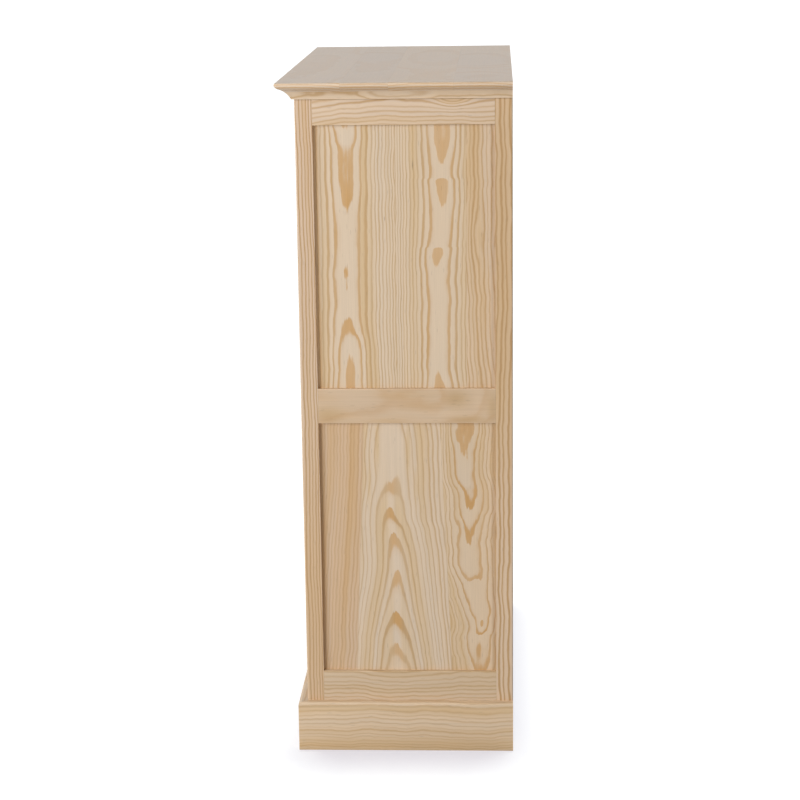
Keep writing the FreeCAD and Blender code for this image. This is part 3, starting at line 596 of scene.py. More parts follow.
POST_EDGES = (FRONT_POST_EDGE, REAR_POST_EDGE)
RIGHT_PANEL = ("y", "x", 1, SIDE_PANEL_FACE, "z")
RIGHT_RAIL = ("z", "x", 1, SIDE_FACE, "y")
RIGHT_POST = ("y", "x", 1, SIDE_FACE, "z")
RIGHT_MOULDING = ("z", "x", 1, PLINTH_SIDE_FACE, "y")
# A painted shadow line under the cove, on the top rail and the posts
PAINTED_SHADOW_UNDER_COVE = (("z", COVE_BOTTOM, 0.003, (0.76, 0.75, 0.73)),)
RIGHT_SIDE = {
    "side_upper_panel_right": dict(
        layout=RIGHT_PANEL, boards=UPPER_PANEL_BOARDS, joints=((-0.001, 0.0), (0.1372, 0.0)),
        # Painted shading: a shadow line under the top rail, warm bounce light painted into the
        # shadow beside the front post, and shade painted over the bounce-lit strip by the rear
        # post
        painted_shading=(("z", TOP_RAIL_BOTTOM, 0.0024, (0.75, 0.74, 0.72)),
                ("y", FRONT_POST_EDGE, 0.013, (1.32, 1.14, 0.86)),
                ("y", REAR_POST_EDGE, 0.012, (0.78, 0.77, 0.76))),
        swells=((0.152, 1.06, 0.01, 0.055, -0.8), (0.174, 1.06, 0.01, 0.055, 0.8)),
        golds=((0.143, 1.2, 0.006, 0.09, 1.0), (0.163, 1.06, 0.009, 0.045, 0.8),
               (0.17, 0.93, 0.008, 0.1, 0.7), (-0.062, 1.15, 0.005, 0.12, 0.8)),
        streaks=((0.034, 1.197, 0.0012, 0.0085, 0.42), (-0.022, 1.093, 0.0008, 0.004, 0.4))),
    "side_lower_panel_right": dict(
        layout=RIGHT_PANEL, boards=LOWER_PANEL_BOARDS,
        joints=((-0.0969, 0.041), (0.111, -0.042)),
        # Painted shading: a shadow line under the middle rail, warm bounce light painted into the
        # shadow beside the front post, and shade painted over the bounce-lit strip by the rear
        # post
        painted_shading=(("z", MIDDLE_RAIL_BOTTOM, 0.0024, (0.57, 0.55, 0.52)),
                ("y", FRONT_POST_EDGE, 0.013, (1.16, 1.04, 0.84)),
                ("y", REAR_POST_EDGE, 0.012, (0.72, 0.69, 0.66))),
        swells=((-0.0155, 0.6, 0.02, 0.11, 1.25), (-0.005, 0.16, 0.021, 0.13, 1.3),
                (0.106, 0.68, 0.012, 0.03, -0.62), (0.154, 0.68, 0.012, 0.03, -0.62),
                (0.151, 0.35, 0.01, 0.016, 0.7), (0.164, 0.262, 0.009, 0.015, -0.9),
                (0.158, 0.212, 0.01, 0.022, 0.8), (0.122, 0.47, 0.01, 0.03, 0.6)),
        golds=((-0.0425, 0.64, 0.005, 0.05, 1.0), (0.0185, 0.63, 0.006, 0.06, 1.0),
               (-0.06, 0.56, 0.0045, 0.045, 0.8), (0.035, 0.555, 0.0055, 0.045, 0.8),
               (-0.09, 0.56, 0.007, 0.18, 0.9), (-0.12, 0.3, 0.005, 0.1, 0.4),
               (0.135, 0.655, 0.03, 0.05, 0.3))),
    "side_top_rail_right": dict(
        layout=RIGHT_RAIL, ends=POST_EDGES, painted_shading=PAINTED_SHADOW_UNDER_COVE,
        boards=[Board(
            across=1.4, depth=0.06, ring=0.015, waver=0.46, flame=0.07, seed=6.6,
            reach=4.0, late_start=0.42, soft=0.22, contrast=1.05, tone=(0.99, 0.97, 0.977),
            rise=((-0.173, 0.0), (-0.128, 0.3), (-0.1, 0.75), (-0.04, 1.1), (0.02, 1.35),
                  (0.073, 1.35), (0.117, 1.3), (0.161, 1.2), (0.208, 1.45)))],
        swells=((1.333, 0.112, 0.024, 0.032, -2.8), (1.335, -0.14, 0.012, 0.022, 0.6),
                (1.33, 0.002, 0.01, 0.024, 0.5))),
    "side_middle_rail_right": dict(
        layout=RIGHT_RAIL, ends=POST_EDGES,
        # A painted highlight on the rail's top ledge
        painted_shading=(("z", MIDDLE_RAIL_TOP, 0.003, (1.13, 1.12, 1.11)),),
        boards=[Board(
            across=0.74, depth=0.17, ring=0.009, waver=0.5, flame=0.03, seed=9.2,
            contrast=0.36, soft=0.5, late_start=0.34, tone=(0.895, 0.843, 0.795), reach=4.0,
            rise=((-0.173, -0.45), (-0.15, -0.25), (-0.11, 0.08), (-0.04, 0.3),
                  (0.004, 0.5), (0.034, 0.42), (0.07, 0.3), (0.1, 0.7), (0.132, 0.88),
                  (0.15, 1.02), (0.168, 1.4), (0.183, 1.75), (0.208, 2.05)))],
        golds=((0.702, -0.14, 0.019, 0.038, 1.0), (0.735, 0.116, 0.019, 0.026, 1.0),
               (0.718, 0.187, 0.034, 0.013, 0.9), (0.692, 0.14, 0.008, 0.04, 1.0),
               (0.742, 0.015, 0.01, 0.06, 0.6), (0.69, -0.026, 0.006, 0.05, 0.6),
               (0.722, 0.05, 0.012, 0.045, 0.4), (0.736, -0.14, 0.008, 0.03, 0.3)),
        streaks=((0.702, -0.14, 0.014, 0.03, 0.07), (0.737, 0.114, 0.016, 0.018, 0.09),
                 (0.716, 0.19, 0.03, 0.008, 0.08), (0.691, 0.14, 0.006, 0.034, 0.06),
                 (0.722, -0.06, 0.02, 0.06, 0.02), (0.704, 0.08, 0.007, 0.05, -0.06),
                 (0.726, 0.158, 0.02, 0.01, -0.05), (0.699, -0.09, 0.005, 0.02, -0.04))),
    "side_bottom_rail_right": dict(
        layout=RIGHT_RAIL, ends=POST_EDGES,
        # A painted highlight on the rail's top ledge
        painted_shading=(("z", BOTTOM_RAIL_TOP, 0.003, (1.1, 1.11, 1.11)),),
        boards=[Board(
            across=0.235, depth=0.05, ring=0.018, waver=0.7, flame=0.05, seed=4.4,
            contrast=1.12, soft=0.3, late_start=0.45, tone=(0.902, 0.87, 0.826), reach=4.0,
            rise=((-0.173, 0.9), (-0.08, 0.5), (-0.02, 0.0), (0.04, 0.1), (0.12, 0.5),
                  (0.208, 0.7)))]),
    "front_post_right": dict(
        layout=RIGHT_POST, painted_shading=PAINTED_SHADOW_UNDER_COVE, golds=((-0.175, 0.3, 0.05, 0.36, 0.9),),
        boards=[Board(
            across=-0.275, depth=0.06, ring=0.0105, waver=0.3, flame=0.06, seed=12.2,
            contrast=1.9, tone=(0.94, 0.895, 0.893), reach=4.0, late_start=0.5, soft=0.2,
            rise=((0.0, 0.0), (0.5, 0.5), (0.9, 0.2), (1.342, 0.9)))]),
    "rear_post_right": dict(
        layout=RIGHT_POST, painted_shading=PAINTED_SHADOW_UNDER_COVE,
        boards=[Board(
            across=0.3, depth=0.06, ring=0.015, waver=0.4, flame=0.06, seed=15.4,
            contrast=2.1, tone=(0.98, 0.935, 0.91), reach=4.0, late_start=0.5, soft=0.2,
            rise=((0.0, 0.6), (0.4, 0.0), (1.0, 0.7), (1.342, 0.2)))]),
    "cove_right": dict(
        layout=RIGHT_MOULDING,
        boards=[Board(
            across=1.4, depth=0.06, ring=0.0072, waver=0.45, flame=0.05, seed=21.5,
            contrast=1.05, tone=(1.07, 1.06, 1.05), soft=0.2, late_start=0.5, reach=4.0,
            rise=((-0.25, 0.2), (-0.1, 0.9), (0.0, -0.3), (0.15, 0.6), (0.24, 0.4)))]),
    "plinth_right": dict(
        layout=RIGHT_MOULDING, golds=((0.01, 0.0, 0.018, 0.6, 0.9),),
        # A painted highlight on the plinth's top ledge, and painted shade on its rounded edge
        # below it
        painted_shading=(("z", PLINTH_TOP, 0.003, (1.07, 1.09, 1.11)),
                ("z", PLINTH_TOP - 0.006, 0.0055, (0.94, 0.94, 0.93))),
        boards=[Board(
            across=0.2, depth=0.06, ring=0.02, waver=0.7, flame=0.05, seed=24.1,
            contrast=0.88, tone=(1.04, 1.01, 0.97), reach=4.0, late_start=0.45, soft=0.3,
            rise=((-0.22, 0.3), (-0.1, 0.1), (0.0, -0.15), (0.1, 0.05), (0.23, 0.2)))]),
}


def random_board(luck, across, spread, tone=1.0, ring=(0.0042, 0.0062), figure=1.0):
    """A board cut anywhere in a log, with a slow rise and fall along its length."""
    level = luck.uniform(0, 1)
    rise = []
    for number in range(13):
        rise.append((-0.6 + 0.18 * number + luck.uniform(-0.05, 0.05), level))
        level += luck.uniform(-1.2, 1.2) * figure
    shade = tone * luck.uniform(0.96, 1.01)
    warmth = luck.uniform(-0.02, 0.03)
    return Board(across=across + luck.uniform(-spread, spread), depth=luck.uniform(0.055, 0.09),
                 ring=luck.uniform(*ring), rise=rise, reach=luck.uniform(0.05, 0.12),
                 waver=luck.uniform(0.25, 0.45), flame=luck.uniform(0.08, 0.13),
                 late_start=luck.uniform(0.56, 0.68), seed=luck.uniform(0, 50),
                 tone=(shade * (1 + warmth / 2), shade, shade * (1 - warmth)))


def glued_boards(luck, low, high, count, **options):
    """Boards side by side across a panel, and the joints between them."""
    width = (high - low) / count
    edges = [low + width * (number + luck.uniform(-0.12, 0.12)) for number in range(1, count)]
    centres = [low + width * (number + 0.5) for number in range(count)]
    boards = [random_board(luck, centre, width / 5, **options) for centre in centres]
    return boards, [(edge, 0.0) for edge in edges]


class CUPBOARD_OT_wood(bpy.types.Operator):
    """Gives each board of the carcase and doors its own grain"""
    bl_idname = "cupboard.wood"
    bl_label = "Wood"

    def execute(self, context):
        growth_group()
        for node, looks in RIGHT_SIDE.items():
            dress(node, **looks)
        luck = random.Random(41)
        self.left_side(luck)
        self.front_and_back(luck)
        self.mouldings(luck)
        self.top_and_shelves(luck)
        self.doors(luck)
        return {"FINISHED"}

    def left_side(self, luck):
        for height in ("upper", "lower"):
            boards, joints = glued_boards(luck, -0.165, 0.2, 3)
            dress(f"side_{height}_panel_left", ("y", "x", -1, SIDE_PANEL_FACE, "z"), boards,
                  joints)
        for height, centre in (("top", 1.31), ("middle", 0.72), ("bottom", 0.13)):
            board = random_board(luck, centre + luck.choice((-0.06, 0.05)), 0.02, tone=0.96)
            dress(f"side_{height}_rail_left", ("z", "x", -1, SIDE_FACE, "y"), [board],
                  ends=POST_EDGES)
        for place, across in (("front", -0.25), ("rear", 0.29)):
            board = random_board(luck, across, 0.02, ring=(0.0086, 0.01), figure=0.4)
            dress(f"{place}_post_left", ("y", "x", -1, SIDE_FACE, "z"), [board])

    def front_and_back(self, luck):
        front, rear = ("z", "y", -1, FRONT_FACE, "x"), ("z", "y", 1, REAR_RAIL_FACE, "x")
        for node, layout, centre in (
                ("front_top_rail", front, 1.309), ("front_bottom_rail", front, 0.13),
                ("rear_top_rail", rear, 1.309), ("rear_middle_rail", rear, 0.72),
                ("rear_bottom_rail", rear, 0.13)):
            board = random_board(luck, centre + luck.choice((-0.07, 0.06)), 0.02)
            dress(node, layout, [board], ends=(-POST_INNER_FACE, POST_INNER_FACE))

    def mouldings(self, luck):
        left = ("z", "x", -1, PLINTH_SIDE_FACE, "y")
        front = ("z", "y", -1, PLINTH_FRONT_FACE, "x")
        for node, layout, centre in (
                ("cove_left", left, 1.33), ("cove_front", front, 1.33),
                ("plinth_left", left, 0.05), ("plinth_front", front, 0.05)):
            board = random_board(luck, centre + luck.choice((-0.09, 0.09)), 0.02,
                                 ring=(0.008, 0.012))
            dress(node, layout, [board])

    def top_and_shelves(self, luck):
        boards, joints = glued_boards(luck, -0.2275, 0.2275, 4)
        for board in boards:
            board.contrast, board.depth, board.ring, board.flame = 0.38, 0.8, 0.0055, 0.03
            board.seed, board.waver, board.reach = 6.0, 0.35, 4.0
            board.rise = [(place, 0.3 + swing * luck.uniform(-1.2, 1.2)) for place, swing in (
                (-0.505, 0), (-0.35, 0.5), (-0.15, 1), (0.05, 1), (0.22, 1), (0.38, 0.5),
                (0.505, 0))]
        # The top's face is painted with a cool grey sheen: a bluish tone and the weak grain set
        # above, while its edges get stronger grain and a warmer tone
        dress("top_board", ("y", "z", 1, TOP_FACE, "x"), boards, joints, roughness=0.44,
              tone=(0.995, 1.025, 1.135), edge_contrast=1.2, edge_tone=(0.985, 0.955, 0.885),
              end_darkness=-0.14)
        for node in ("bottom_board", "middle_shelf", "upper_loose_shelf", "lower_loose_shelf"):
            boards, joints = glued_boards(luck, -0.17, 0.22, 4)
            dress(node, ("y", "z", 1, place_of(node, HIGH, "z"), "x"), boards, joints)
        for node, layout, centre, spread, tone in (
                ("shelf_cleats", ("z", "x", 1, 0.0, "y"), 0.3, 0.05, 0.96),
                ("top_fixing_blocks", ("z", "y", 1, 0.0, "x"), 1.4, 0.02, 0.97)):
            board = random_board(luck, centre, spread, tone=tone, ring=(0.003, 0.004))
            dress(node, layout, [board])

    def doors(self, luck):
        for side, sign, _ in SIDES:
            low, high = sorted((sign * DOOR_OPENING[0], sign * DOOR_OPENING[1]))
            for height in ("upper", "lower"):
                boards, joints = glued_boards(luck, low, high, 3)
                dress(f"{side}_door_{height}_panel", ("x", "y", -1, DOOR_PANEL_FACE, "z"), boards,
                      joints)
            for part, centre in (("hinge_stile", 0.404), ("meeting_stile", 0.0315)):
                board = random_board(luck, sign * centre + luck.choice((-0.06, 0.06)), 0.015,
                                     ring=(0.005, 0.0068), figure=0.5)
                dress(f"{side}_door_{part}", ("x", "y", -1, FRONT_FACE, "z"), [board])
            for part, centre in (("top", 1.244), ("middle", 0.7205), ("bottom", 0.207)):
                board = random_board(luck, centre + luck.choice((-0.05, 0.0, 0.05)), 0.01,
                                     tone=0.98)
                dress(f"{side}_door_{part}_rail", ("z", "y", -1, FRONT_FACE, "x"), [board],
                      ends=(low, high))


PIN_PITCH = 0.112
PIN_COLUMNS, PIN_ROWS = (0.442, -0.442), (0.101, 0.7145, 0.7265, 1.336)


def plywood_material():
    """Thin plywood with long arches in each panel, and the pins that hold it."""
    material, kit = empty_material("plywood_back")
    x, y, z = kit.split(kit.add("TexCoord").outputs["Object"])[:3]
    upper = kit.math("GREATER_THAN", z, BACK_JOINT)
    along = kit.times_plus(upper, -0.55, z)
    growth = kit.growth(
        place=kit.vector(kit.times_plus(upper, 0.17, x), y, along), centre=0.05, depth=0.42,
        ring=0.012, waver=0.45, rise=kit.times(along, 5.5), level=2.0, reach=0.16, flame=0.06,
        seed=kit.times_plus(upper, 6.0, 31.0))
    fibre = growth["fibre"]
    colour = kit.blend(kit.times(growth["late"], 0.42), (0.64, 0.5, 0.34), (0.5, 0.33, 0.18))
    shade = kit.times_plus(growth["blotch"], 0.04, kit.times_plus(fibre, 0.05, 1.0))
    colour = kit.scale_colour(colour, shade)

    def from_pins(beside, along_row, first):
        """How far a place is from the nearest pin of a row."""
        step = kit.math("WRAP", kit.minus(along_row, first), PIN_PITCH / 2, -PIN_PITCH / 2)
        return kit.add("VectorMath", {0: kit.vector(beside, step, 0.0)},
                       operation="LENGTH").outputs["Value"]

    rows = [from_pins(kit.minus(x, place), z, 0.12) for place in PIN_COLUMNS]
    rows += [from_pins(kit.minus(z, place), x, 0.0) for place in PIN_ROWS]
    nearest = rows[0]
    for row in rows[1:]:
        nearest = kit.math("MINIMUM", nearest, row)
    behind = kit.math("GREATER_THAN", y, BACK_FACE - 0.0001)
    head = kit.times(kit.ramp(nearest, 0.0016, 0.002, 1.0, 0.0), behind)
    colour = kit.blend(head, colour, (0.32, 0.32, 0.33))
    height = kit.times_plus(fibre, 0.3, kit.times(head, 2.0))
    rough = kit.times_plus(head, -0.2, 0.55)
    return close_material(material, kit, colour, rough, height, 0.0001)


def metal_material(name, colour, roughness, grain=(900, 900, 60)):
    """Metal with fine drawn lines, faint stains and worn places."""
    material, kit = empty_material(name)
    source = kit.add("TexCoord").outputs["Object"]
    lines = kit.noise(kit.stretch(source, grain), 3.0, 0.6)
    stains = kit.noise(kit.stretch(source, (160, 160, 160)), 3.0)
    shade = kit.times_plus(lines, 0.05, 1.0)
    shade = kit.times_plus(stains, 0.1, shade)
    tinted = kit.scale_colour(kit.vector(*colour), shade)
    rough = kit.times_plus(stains, 0.1, kit.times_plus(lines, 0.06, roughness))
    return close_material(material, kit, tinted, rough, lines, 0.00002, metallic=1.0)


def plastic_material(name, colour):
    """Moulded plastic with a fine even skin."""
    material, kit = empty_material(name)
    source = kit.add("TexCoord").outputs["Object"]
    skin = kit.noise(kit.stretch(source, (2600, 2600, 2600)), 2.0)
    cloud = kit.noise(kit.stretch(source, (90, 90, 90)), 2.0)
    tinted = kit.scale_colour(kit.vector(*colour), kit.times_plus(cloud, 0.08, 1.0))
    rough = kit.times_plus(skin, 0.06, 0.44)
    return close_material(material, kit, tinted, rough, skin, 0.00003)


class CUPBOARD_OT_hardware_finish(bpy.types.Operator):
    """Gives the hinges, plates, catches and back panels their finishes"""
    bl_idname = "cupboard.hardware_finish"
    bl_label = "Hardware finishes"

    def execute(self, context):
        hardware = settings("hardware")
        give(["back_panel_upper", "back_panel_lower"], plywood_material())
        brass = metal_material("brass", tuple(hardware.brass_colour), 0.42)
        zinc = metal_material("zinc", tuple(hardware.steel_colour), 0.34)
        give(["post_hinge_leaves", "hinge_pins", "left_door_hinge_leaves",
              "right_door_hinge_leaves"], brass)
        give(["left_door_strike_plate", "right_door_strike_plate", "left_door_knob_screw",
              "right_door_knob_screw"], zinc)
        give(["magnetic_catches"], plastic_material("catch_plastic", tuple(hardware.catch_colour)))
        return {"FINISHED"}


# Modelling helpers
def select(*pieces):
    """Selects these pieces and no others, and makes the first of them active."""
    if bpy.context.mode != "OBJECT":
        bpy.ops.object.mode_set(mode="OBJECT")
    bpy.ops.object.select_all(action="DESELECT")
    for piece in pieces:
        piece.select_set(True)
    if pieces:
        bpy.context.view_layer.objects.active = pieces[0]


def finish_piece(piece, name, material, body, replaced=()):
    """Names a piece, puts its place into its mesh and hangs it on its body."""
    select(piece)
    bpy.ops.object.transform_apply(location=True, rotation=True, scale=True)
    piece.name = name
    piece.data.name = name
    piece.data.materials.clear()
    piece.data.materials.append(material)
    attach(piece, body)
    if replaced:
        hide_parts(*replaced)
    return piece


def smooth(piece, angle=35):
    select(piece)
    bpy.ops.object.shade_smooth_by_angle(angle=math.radians(angle))


def turned_shape(centre, outline, sides):
    """A shape turned about a line along -Y, from a disc that is drawn out ring by ring."""
    select()
    first_reach, first_radius = outline[0]
    bpy.ops.mesh.primitive_circle_add(
        vertices=sides, radius=first_radius, fill_type="NGON",
        location=centre + Vector((0, -first_reach, 0)), rotation=(math.pi / 2, 0, 0))
    piece = bpy.context.active_object
    bpy.ops.object.transform_apply(location=True, rotation=True, scale=True)
    bpy.ops.object.mode_set(mode="EDIT")
    bpy.ops.mesh.select_all(action="SELECT")
    reach, radius = first_reach, first_radius
    for next_reach, next_radius in outline[1:]:
        bpy.ops.mesh.extrude_region_move(
            TRANSFORM_OT_translate={"value": (0, -(next_reach - reach), 0)})
        share = next_radius / radius
        bpy.ops.transform.resize(value=(share, share, share),
                                 center_override=centre + Vector((0, -next_reach, 0)))
        reach, radius = next_reach, next_radius
    bpy.ops.mesh.select_all(action="SELECT")
    bpy.ops.mesh.normals_make_consistent(inside=False)
    bpy.ops.object.mode_set(mode="OBJECT")
    return piece


# Reach from the door and radius, in millimetres
KNOB_OUTLINE = (
    (0.0, 9.4), (0.5, 9.9), (1.4, 10.0), (2.4, 9.8), (3.1, 9.0), (3.7, 7.7), (5.0, 6.8),
    (7.0, 6.4), (9.0, 6.7), (10.7, 7.9), (12.0, 10.2), (13.3, 12.8), (15.0, 14.8), (17.2, 15.8),
    (19.6, 16.0), (22.0, 15.5), (24.2, 14.1), (26.0, 11.7), (27.2, 8.4), (27.8, 4.6),
    (28.0, 1.6))


class CUPBOARD_OT_knobs(bpy.types.Operator):
    """Turns the two wooden knobs"""
    bl_idname = "cupboard.knobs"
    bl_label = "Knobs"

    def execute(self, context):
        for side, sign, body in SIDES:
            low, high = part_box(f"{side}_door_knob")
            centre = Vector(((low.x + high.x) / 2, high.y, (low.z + high.z) / 2))
            outline = [(reach * MM, radius * MM) for reach, radius in KNOB_OUTLINE]
            piece = turned_shape(centre, outline, sides=40)
            smooth(piece, angle=60)
            grain = Board(across=centre.x + 0.011 * sign, depth=0.03, ring=0.003, waver=0.12,
                          flame=0.03, seed=40 + sign, contrast=0.9)
            material = pine(f"{side}_knob_pine", ("x", "y", -1, KNOB_FACE, "z"), [grain],
                            roughness=0.36)
            finish_piece(piece, f"{side}_knob_turned", material, body,
                         (f"{side}_door_knob",))
        return {"FINISHED"}


def screw_head(radius, height):
    """A raised countersunk head with a cross recess, facing +Z at the origin.

    All its parts are shares of its radius and height.
    """
    select()
    bpy.ops.mesh.primitive_cylinder_add(vertices=20, radius=radius, depth=height,
                                        location=(0, 0, 0))
    head = bpy.context.active_object
    bpy.ops.object.mode_set(mode="EDIT")
    bpy.ops.mesh.select_all(action="DESELECT")
    bpy.ops.object.mode_set(mode="OBJECT")
    for face in head.data.polygons:
        face.select = face.normal.z > 0.9
    bpy.ops.object.mode_set(mode="EDIT")
    bpy.ops.mesh.select_mode(type="FACE")
    for width, rise in ((0.22, 0.16), (0.26, 0.08)):
        bpy.ops.mesh.inset(thickness=radius * width, depth=height * rise)
    bpy.ops.object.mode_set(mode="OBJECT")
    for length_x, length_y in ((1.05, 0.24), (0.24, 1.05)):
        bpy.ops.mesh.primitive_cube_add(size=1, location=(0, 0, height * 0.62))
        arm = bpy.context.active_object
        arm.scale = (radius * length_x, radius * length_y, height * 0.8)
        bpy.ops.object.transform_apply(location=True, rotation=True, scale=True)
        select(head)
        cut = head.modifiers.new("recess", "BOOLEAN")
        cut.operation = "DIFFERENCE"
        cut.solver = "EXACT"
        cut.object = arm
        bpy.ops.object.modifier_apply(modifier=cut.name)
        bpy.data.objects.remove(arm)
    return head


def place_copies(model, places, name, material, body):
    """One piece from copies of a model, each at a place and facing a way."""
    copies = []
    for index, (place, facing) in enumerate(places):
        copy = model.copy()
        copy.data = model.data.copy()
        bpy.context.scene.collection.objects.link(copy)
        turn = Vector((0, 0, 1)).rotation_difference(Vector(facing))
        spin = Quaternion((0, 0, 1), math.radians(37 * index))
        copy.data.transform(Matrix.Translation(Vector(place)) @ (turn @ spin).to_matrix().to_4x4())
        copies.append(copy)
    select(*copies)
    bpy.ops.object.join()
    piece = bpy.context.active_object
    smooth(piece, 35)
    return finish_piece(piece, name, material, body)


CATCH_PLACE = (0.0315, -0.1631, 1.2624)
SCREW_GRAIN = (700, 700, 700)
SCREW_SINK = 0.0004
# Screws of a hinge leaf: along it from its middle and across it, as shares of its size
LEAF_HEIGHT, LEAF_SCREWS = 0.06, ((-0.34, 0.2), (0.0, 0.42), (0.34, 0.2))
# Face of each pair of cleats, height of its screws and their places along it
CLEAT_SCREWS = ((0.426, 0.137, (-0.12, 0.0175, 0.155)), (0.426, 0.7275, (-0.12, 0.0175, 0.155)),
                (0.416, 0.45025, (-0.156, 0.191)), (0.416, 1.03875, (-0.156, 0.191)))


class CUPBOARD_OT_screws(bpy.types.Operator):
    """Puts the screws in the hinges, plates, catches and cleats"""
    bl_idname = "cupboard.screws"
    bl_label = "Screws"

    def execute(self, context):
        hardware = settings("hardware")
        brass = metal_material("screw_brass", tuple(hardware.brass_colour), 0.26, SCREW_GRAIN)
        zinc = metal_material("screw_zinc", tuple(hardware.steel_colour), 0.3, SCREW_GRAIN)
        model = screw_head(hardware.screw_head / 2, 0.0012)
        low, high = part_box("right_door_hinge_leaves")
        centres = (low.z + LEAF_HEIGHT / 2, high.z - LEAF_HEIGHT / 2)
        rows = [(z + along * LEAF_HEIGHT, high.y - across * (high.y - low.y))
                for z in centres for along, across in LEAF_SCREWS]
        for side, sign, body in SIDES:
            places = [((sign * (DOOR_EDGE - SCREW_SINK), y, z), (sign, 0, 0)) for z, y in rows]
            place_copies(model, places, f"{side}_door_hinge_screws", brass, body)
            plate_low, plate_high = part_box(f"{side}_door_strike_plate")
            centre = (plate_low + plate_high) / 2
            place_copies(model, [((centre.x, plate_high.y - SCREW_SINK, centre.z), (0, 1, 0))],
                         f"{side}_strike_plate_screw", zinc, body)
        places = [((sign * (POST_INNER_FACE + SCREW_SINK), y, z), (-sign, 0, 0))
                  for sign in (-1, 1) for z, y in rows]
        place_copies(model, places, "post_hinge_screws", brass, CABINET)
        bpy.data.objects.remove(model)
        self.cleat_screws(hardware, zinc)
        return {"FINISHED"}

    def cleat_screws(self, hardware, zinc):
        model = screw_head(hardware.cleat_screw_head / 2, 0.0014)
        places = [((sign * (face + SCREW_SINK), y, z), (-sign, 0, 0))
                  for sign in (-1, 1) for face, z, ys in CLEAT_SCREWS for y in ys]
        catch_x, catch_y, catch_z = CATCH_PLACE
        places += [((sign * catch_x + step, catch_y, catch_z), (0, 0, -1))
                   for sign in (-1, 1) for step in (-0.012, 0.012)]
        place_copies(model, places, "cleat_and_catch_screws", zinc, CABINET)
        bpy.data.objects.remove(model)


class CUPBOARD_OT_knob_screws(bpy.types.Operator):
    """Makes the round-headed screws that hold the knobs"""
    bl_idname = "cupboard.knob_screws"
    bl_label = "Knob screws"

    def execute(self, context):
        hardware = settings("hardware")
        zinc = metal_material("knob_screw_zinc", tuple(hardware.steel_colour), 0.28, SCREW_GRAIN)
        head, shank_radius, point_radius, point = 0.0025, 0.002, 0.0005, 0.004
        drum = 0.78 * head
        for side, sign, body in SIDES:
            low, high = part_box(f"{side}_door_knob_screw")
            centre_x, centre_z = (low.x + high.x) / 2, (low.z + high.z) / 2
            model = screw_head((high.x - low.x) / 2, drum)
            start = high.y - head
            length = start - low.y
            outline = ((0.0, shank_radius), (length - point, shank_radius),
                       (length, point_radius))
            shank = turned_shape(Vector((centre_x, start, centre_z)), outline, 20)
            turn = Vector((0, 0, 1)).rotation_difference(Vector((0, 1, 0)))
            model.data.transform(Matrix.Translation((centre_x, start + drum / 2, centre_z))
                                 @ turn.to_matrix().to_4x4())
            select(model, shank)
            bpy.ops.object.join()
            smooth(model, 35)
            finish_piece(model, f"{side}_knob_screw_round", zinc, body,
                         (f"{side}_door_knob_screw",))
        return {"FINISHED"}


# Studio
CAMERA_AZIMUTH, CAMERA_ELEVATION, CAMERA_ROLL = 92.6751, 13.1523, -0.7269
CAMERA_DISTANCE = 4.2643
CAMERA_TARGET = Vector((0.47, 0.0043, 0.73267))


def direction(azimuth, elevation):
    """The way from the object to a place round it."""
    a, e = math.radians(azimuth), math.radians(elevation)
    return Vector((math.sin(a) * math.cos(e), -math.cos(a) * math.cos(e), math.sin(e)))


def aim(lamp, name, way, power):
    lamp.name = name
    lamp.data.energy = power
    lamp.rotation_mode = "QUATERNION"
    lamp.rotation_quaternion = way.to_track_quat("Z", "Y")
    return lamp


def area_lamp(name, power, target, azimuth, elevation, distance, size):
    way = direction(azimuth, elevation)
    bpy.ops.object.light_add(type="AREA", location=target + way * distance)
    lamp = aim(bpy.context.active_object, name, way, power)
    lamp.data.shape = "SQUARE"
    lamp.data.size = size
    return lamp


def sun_lamp(name, strength, azimuth, elevation, spread):
    way = direction(azimuth, elevation)
    bpy.ops.object.light_add(type="SUN", location=way * 4)
    lamp = aim(bpy.context.active_object, name, way, strength)
    lamp.data.angle = math.radians(spread)
    return lamp


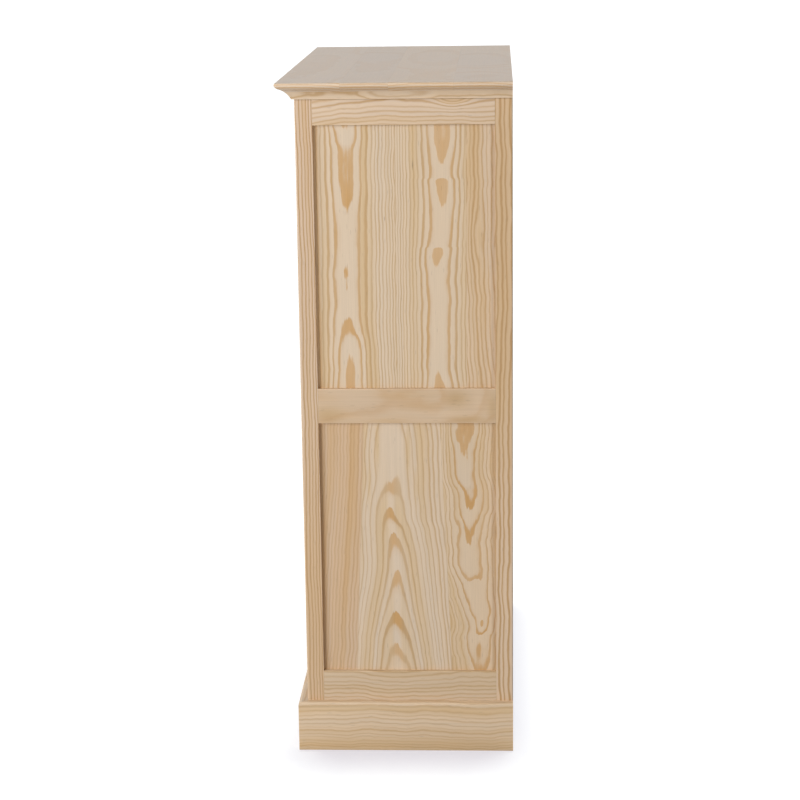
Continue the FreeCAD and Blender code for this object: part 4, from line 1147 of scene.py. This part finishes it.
class CUPBOARD_OT_studio(bpy.types.Operator):
    """Makes the floor, the lamps, the white surround and the camera"""
    bl_idname = "cupboard.studio"
    bl_label = "Studio"

    def execute(self, context):
        studio = settings("studio")
        floor = self.floor()
        self.surround(studio)
        target = Vector((0.0, 0.0, 0.68))
        key = area_lamp("key_lamp", studio.key, target, azimuth=45, elevation=13, distance=5.0,
                        size=3.0)
        fill = area_lamp("fill_lamp", studio.fill, target, azimuth=235, elevation=14,
                         distance=5.0, size=2.6)
        high = sun_lamp("high_lamp", studio.high, azimuth=272, elevation=68, spread=30)
        overhead = sun_lamp("floor_lamp", studio.floor_lamp, azimuth=272.7, elevation=86,
                            spread=9)
        self.lit_apart(floor, (key, fill, high), overhead)
        self.camera(studio)
        context.scene.view_settings.view_transform = "Standard"
        return {"FINISHED"}

    def floor(self):
        select()
        bpy.ops.mesh.primitive_plane_add(size=160, location=(0, 0, 0))
        floor = bpy.context.active_object
        floor.name = "floor"
        material, kit = empty_material("floor_white")
        shaded = kit.add("BsdfDiffuse", {"Color": (0.5, 0.53, 0.47)})
        glow = kit.add("Emission", {"Color": (0.562, 0.55, 0.63), "Strength": 1.0})
        shown = kit.add("AddShader", {0: shaded.outputs[0], 1: glow.outputs[0]})
        plain = kit.add("BsdfDiffuse", {"Color": (0.34, 0.34, 0.34)})
        mix = kit.add("MixShader", {0: kit.seen(), 1: plain.outputs[0], 2: shown.outputs[0]})
        kit.add("OutputMaterial", {"Surface": mix.outputs[0]})
        floor.data.materials.append(material)
        return floor

    def surround(self, studio):
        world = bpy.data.worlds.new("surround")
        bpy.context.scene.world = world
        world.use_nodes = True
        world.node_tree.nodes.clear()
        kit = Nodes(world.node_tree)
        strength = kit.times_plus(kit.seen(), 1.0 - studio.sky, studio.sky)
        background = kit.add("Background", {"Color": (1, 1, 1), "Strength": strength})
        kit.add("OutputWorld", {"Surface": background.outputs[0]})

    def lit_apart(self, floor, object_lamps, floor_lamp):
        """The object's lamps leave the floor out, and the floor's lamp lights only the floor."""
        for lamp in object_lamps:
            group = bpy.data.collections.new(lamp.name + "_lights")
            group.objects.link(floor)
            lamp.light_linking.receiver_collection = group
            group.collection_objects[0].light_linking.link_state = "EXCLUDE"
        group = bpy.data.collections.new("floor_lamp_lights")
        group.objects.link(floor)
        floor_lamp.light_linking.receiver_collection = group

    def camera(self, studio):
        back = direction(CAMERA_AZIMUTH, CAMERA_ELEVATION)
        bpy.ops.object.camera_add(location=CAMERA_TARGET + back * CAMERA_DISTANCE)
        camera = bpy.context.active_object
        camera.name = "camera"
        camera.rotation_mode = "QUATERNION"
        level = back.to_track_quat("Z", "Y")
        camera.rotation_quaternion = level @ Quaternion((0, 0, 1), math.radians(CAMERA_ROLL))
        camera.data.sensor_width = 36.0
        camera.data.lens = studio.lens
        camera.data.clip_start = 0.05
        camera.data.clip_end = 300.0
        bpy.context.scene.camera = camera


class CUPBOARD_PT_panel(bpy.types.Panel):
    """Lists the steps that dress the cupboard"""
    bl_idname = "CUPBOARD_PT_panel"
    bl_label = "Pine cupboard"
    bl_space_type = "VIEW_3D"
    bl_region_type = "UI"
    bl_category = "Cupboard"

    def draw(self, context):
        for kind in OPERATORS:
            self.layout.operator(kind.bl_idname)
        for name, kind in SETTINGS:
            box = self.layout.box()
            box.label(text=name.capitalize())
            for field in kind.__annotations__:
                box.prop(settings(name), field)


SETTINGS = (("pine", PineSettings), ("hardware", HardwareSettings), ("studio", StudioSettings))
OPERATORS = (CUPBOARD_OT_studio, CUPBOARD_OT_wood, CUPBOARD_OT_hardware_finish, CUPBOARD_OT_knobs,
             CUPBOARD_OT_screws, CUPBOARD_OT_knob_screws)


def register():
    for name, kind in SETTINGS:
        bpy.utils.register_class(kind)
        setattr(bpy.types.Scene, "cupboard_" + name, bpy.props.PointerProperty(type=kind))
    for kind in OPERATORS + (CUPBOARD_PT_panel,):
        bpy.utils.register_class(kind)


def unregister():
    for kind in (CUPBOARD_PT_panel,) + OPERATORS[::-1]:
        bpy.utils.unregister_class(kind)
    for name, kind in SETTINGS:
        delattr(bpy.types.Scene, "cupboard_" + name)
        bpy.utils.unregister_class(kind)


def main():
    register()
    bpy.ops.object.select_all(action="DESELECT")
    bpy.ops.cupboard.studio()
    bpy.ops.cupboard.wood()
    bpy.ops.cupboard.hardware_finish()
    bpy.ops.cupboard.knobs()
    bpy.ops.cupboard.screws()
    bpy.ops.cupboard.knob_screws()


if __name__ == "__main__":
    main()
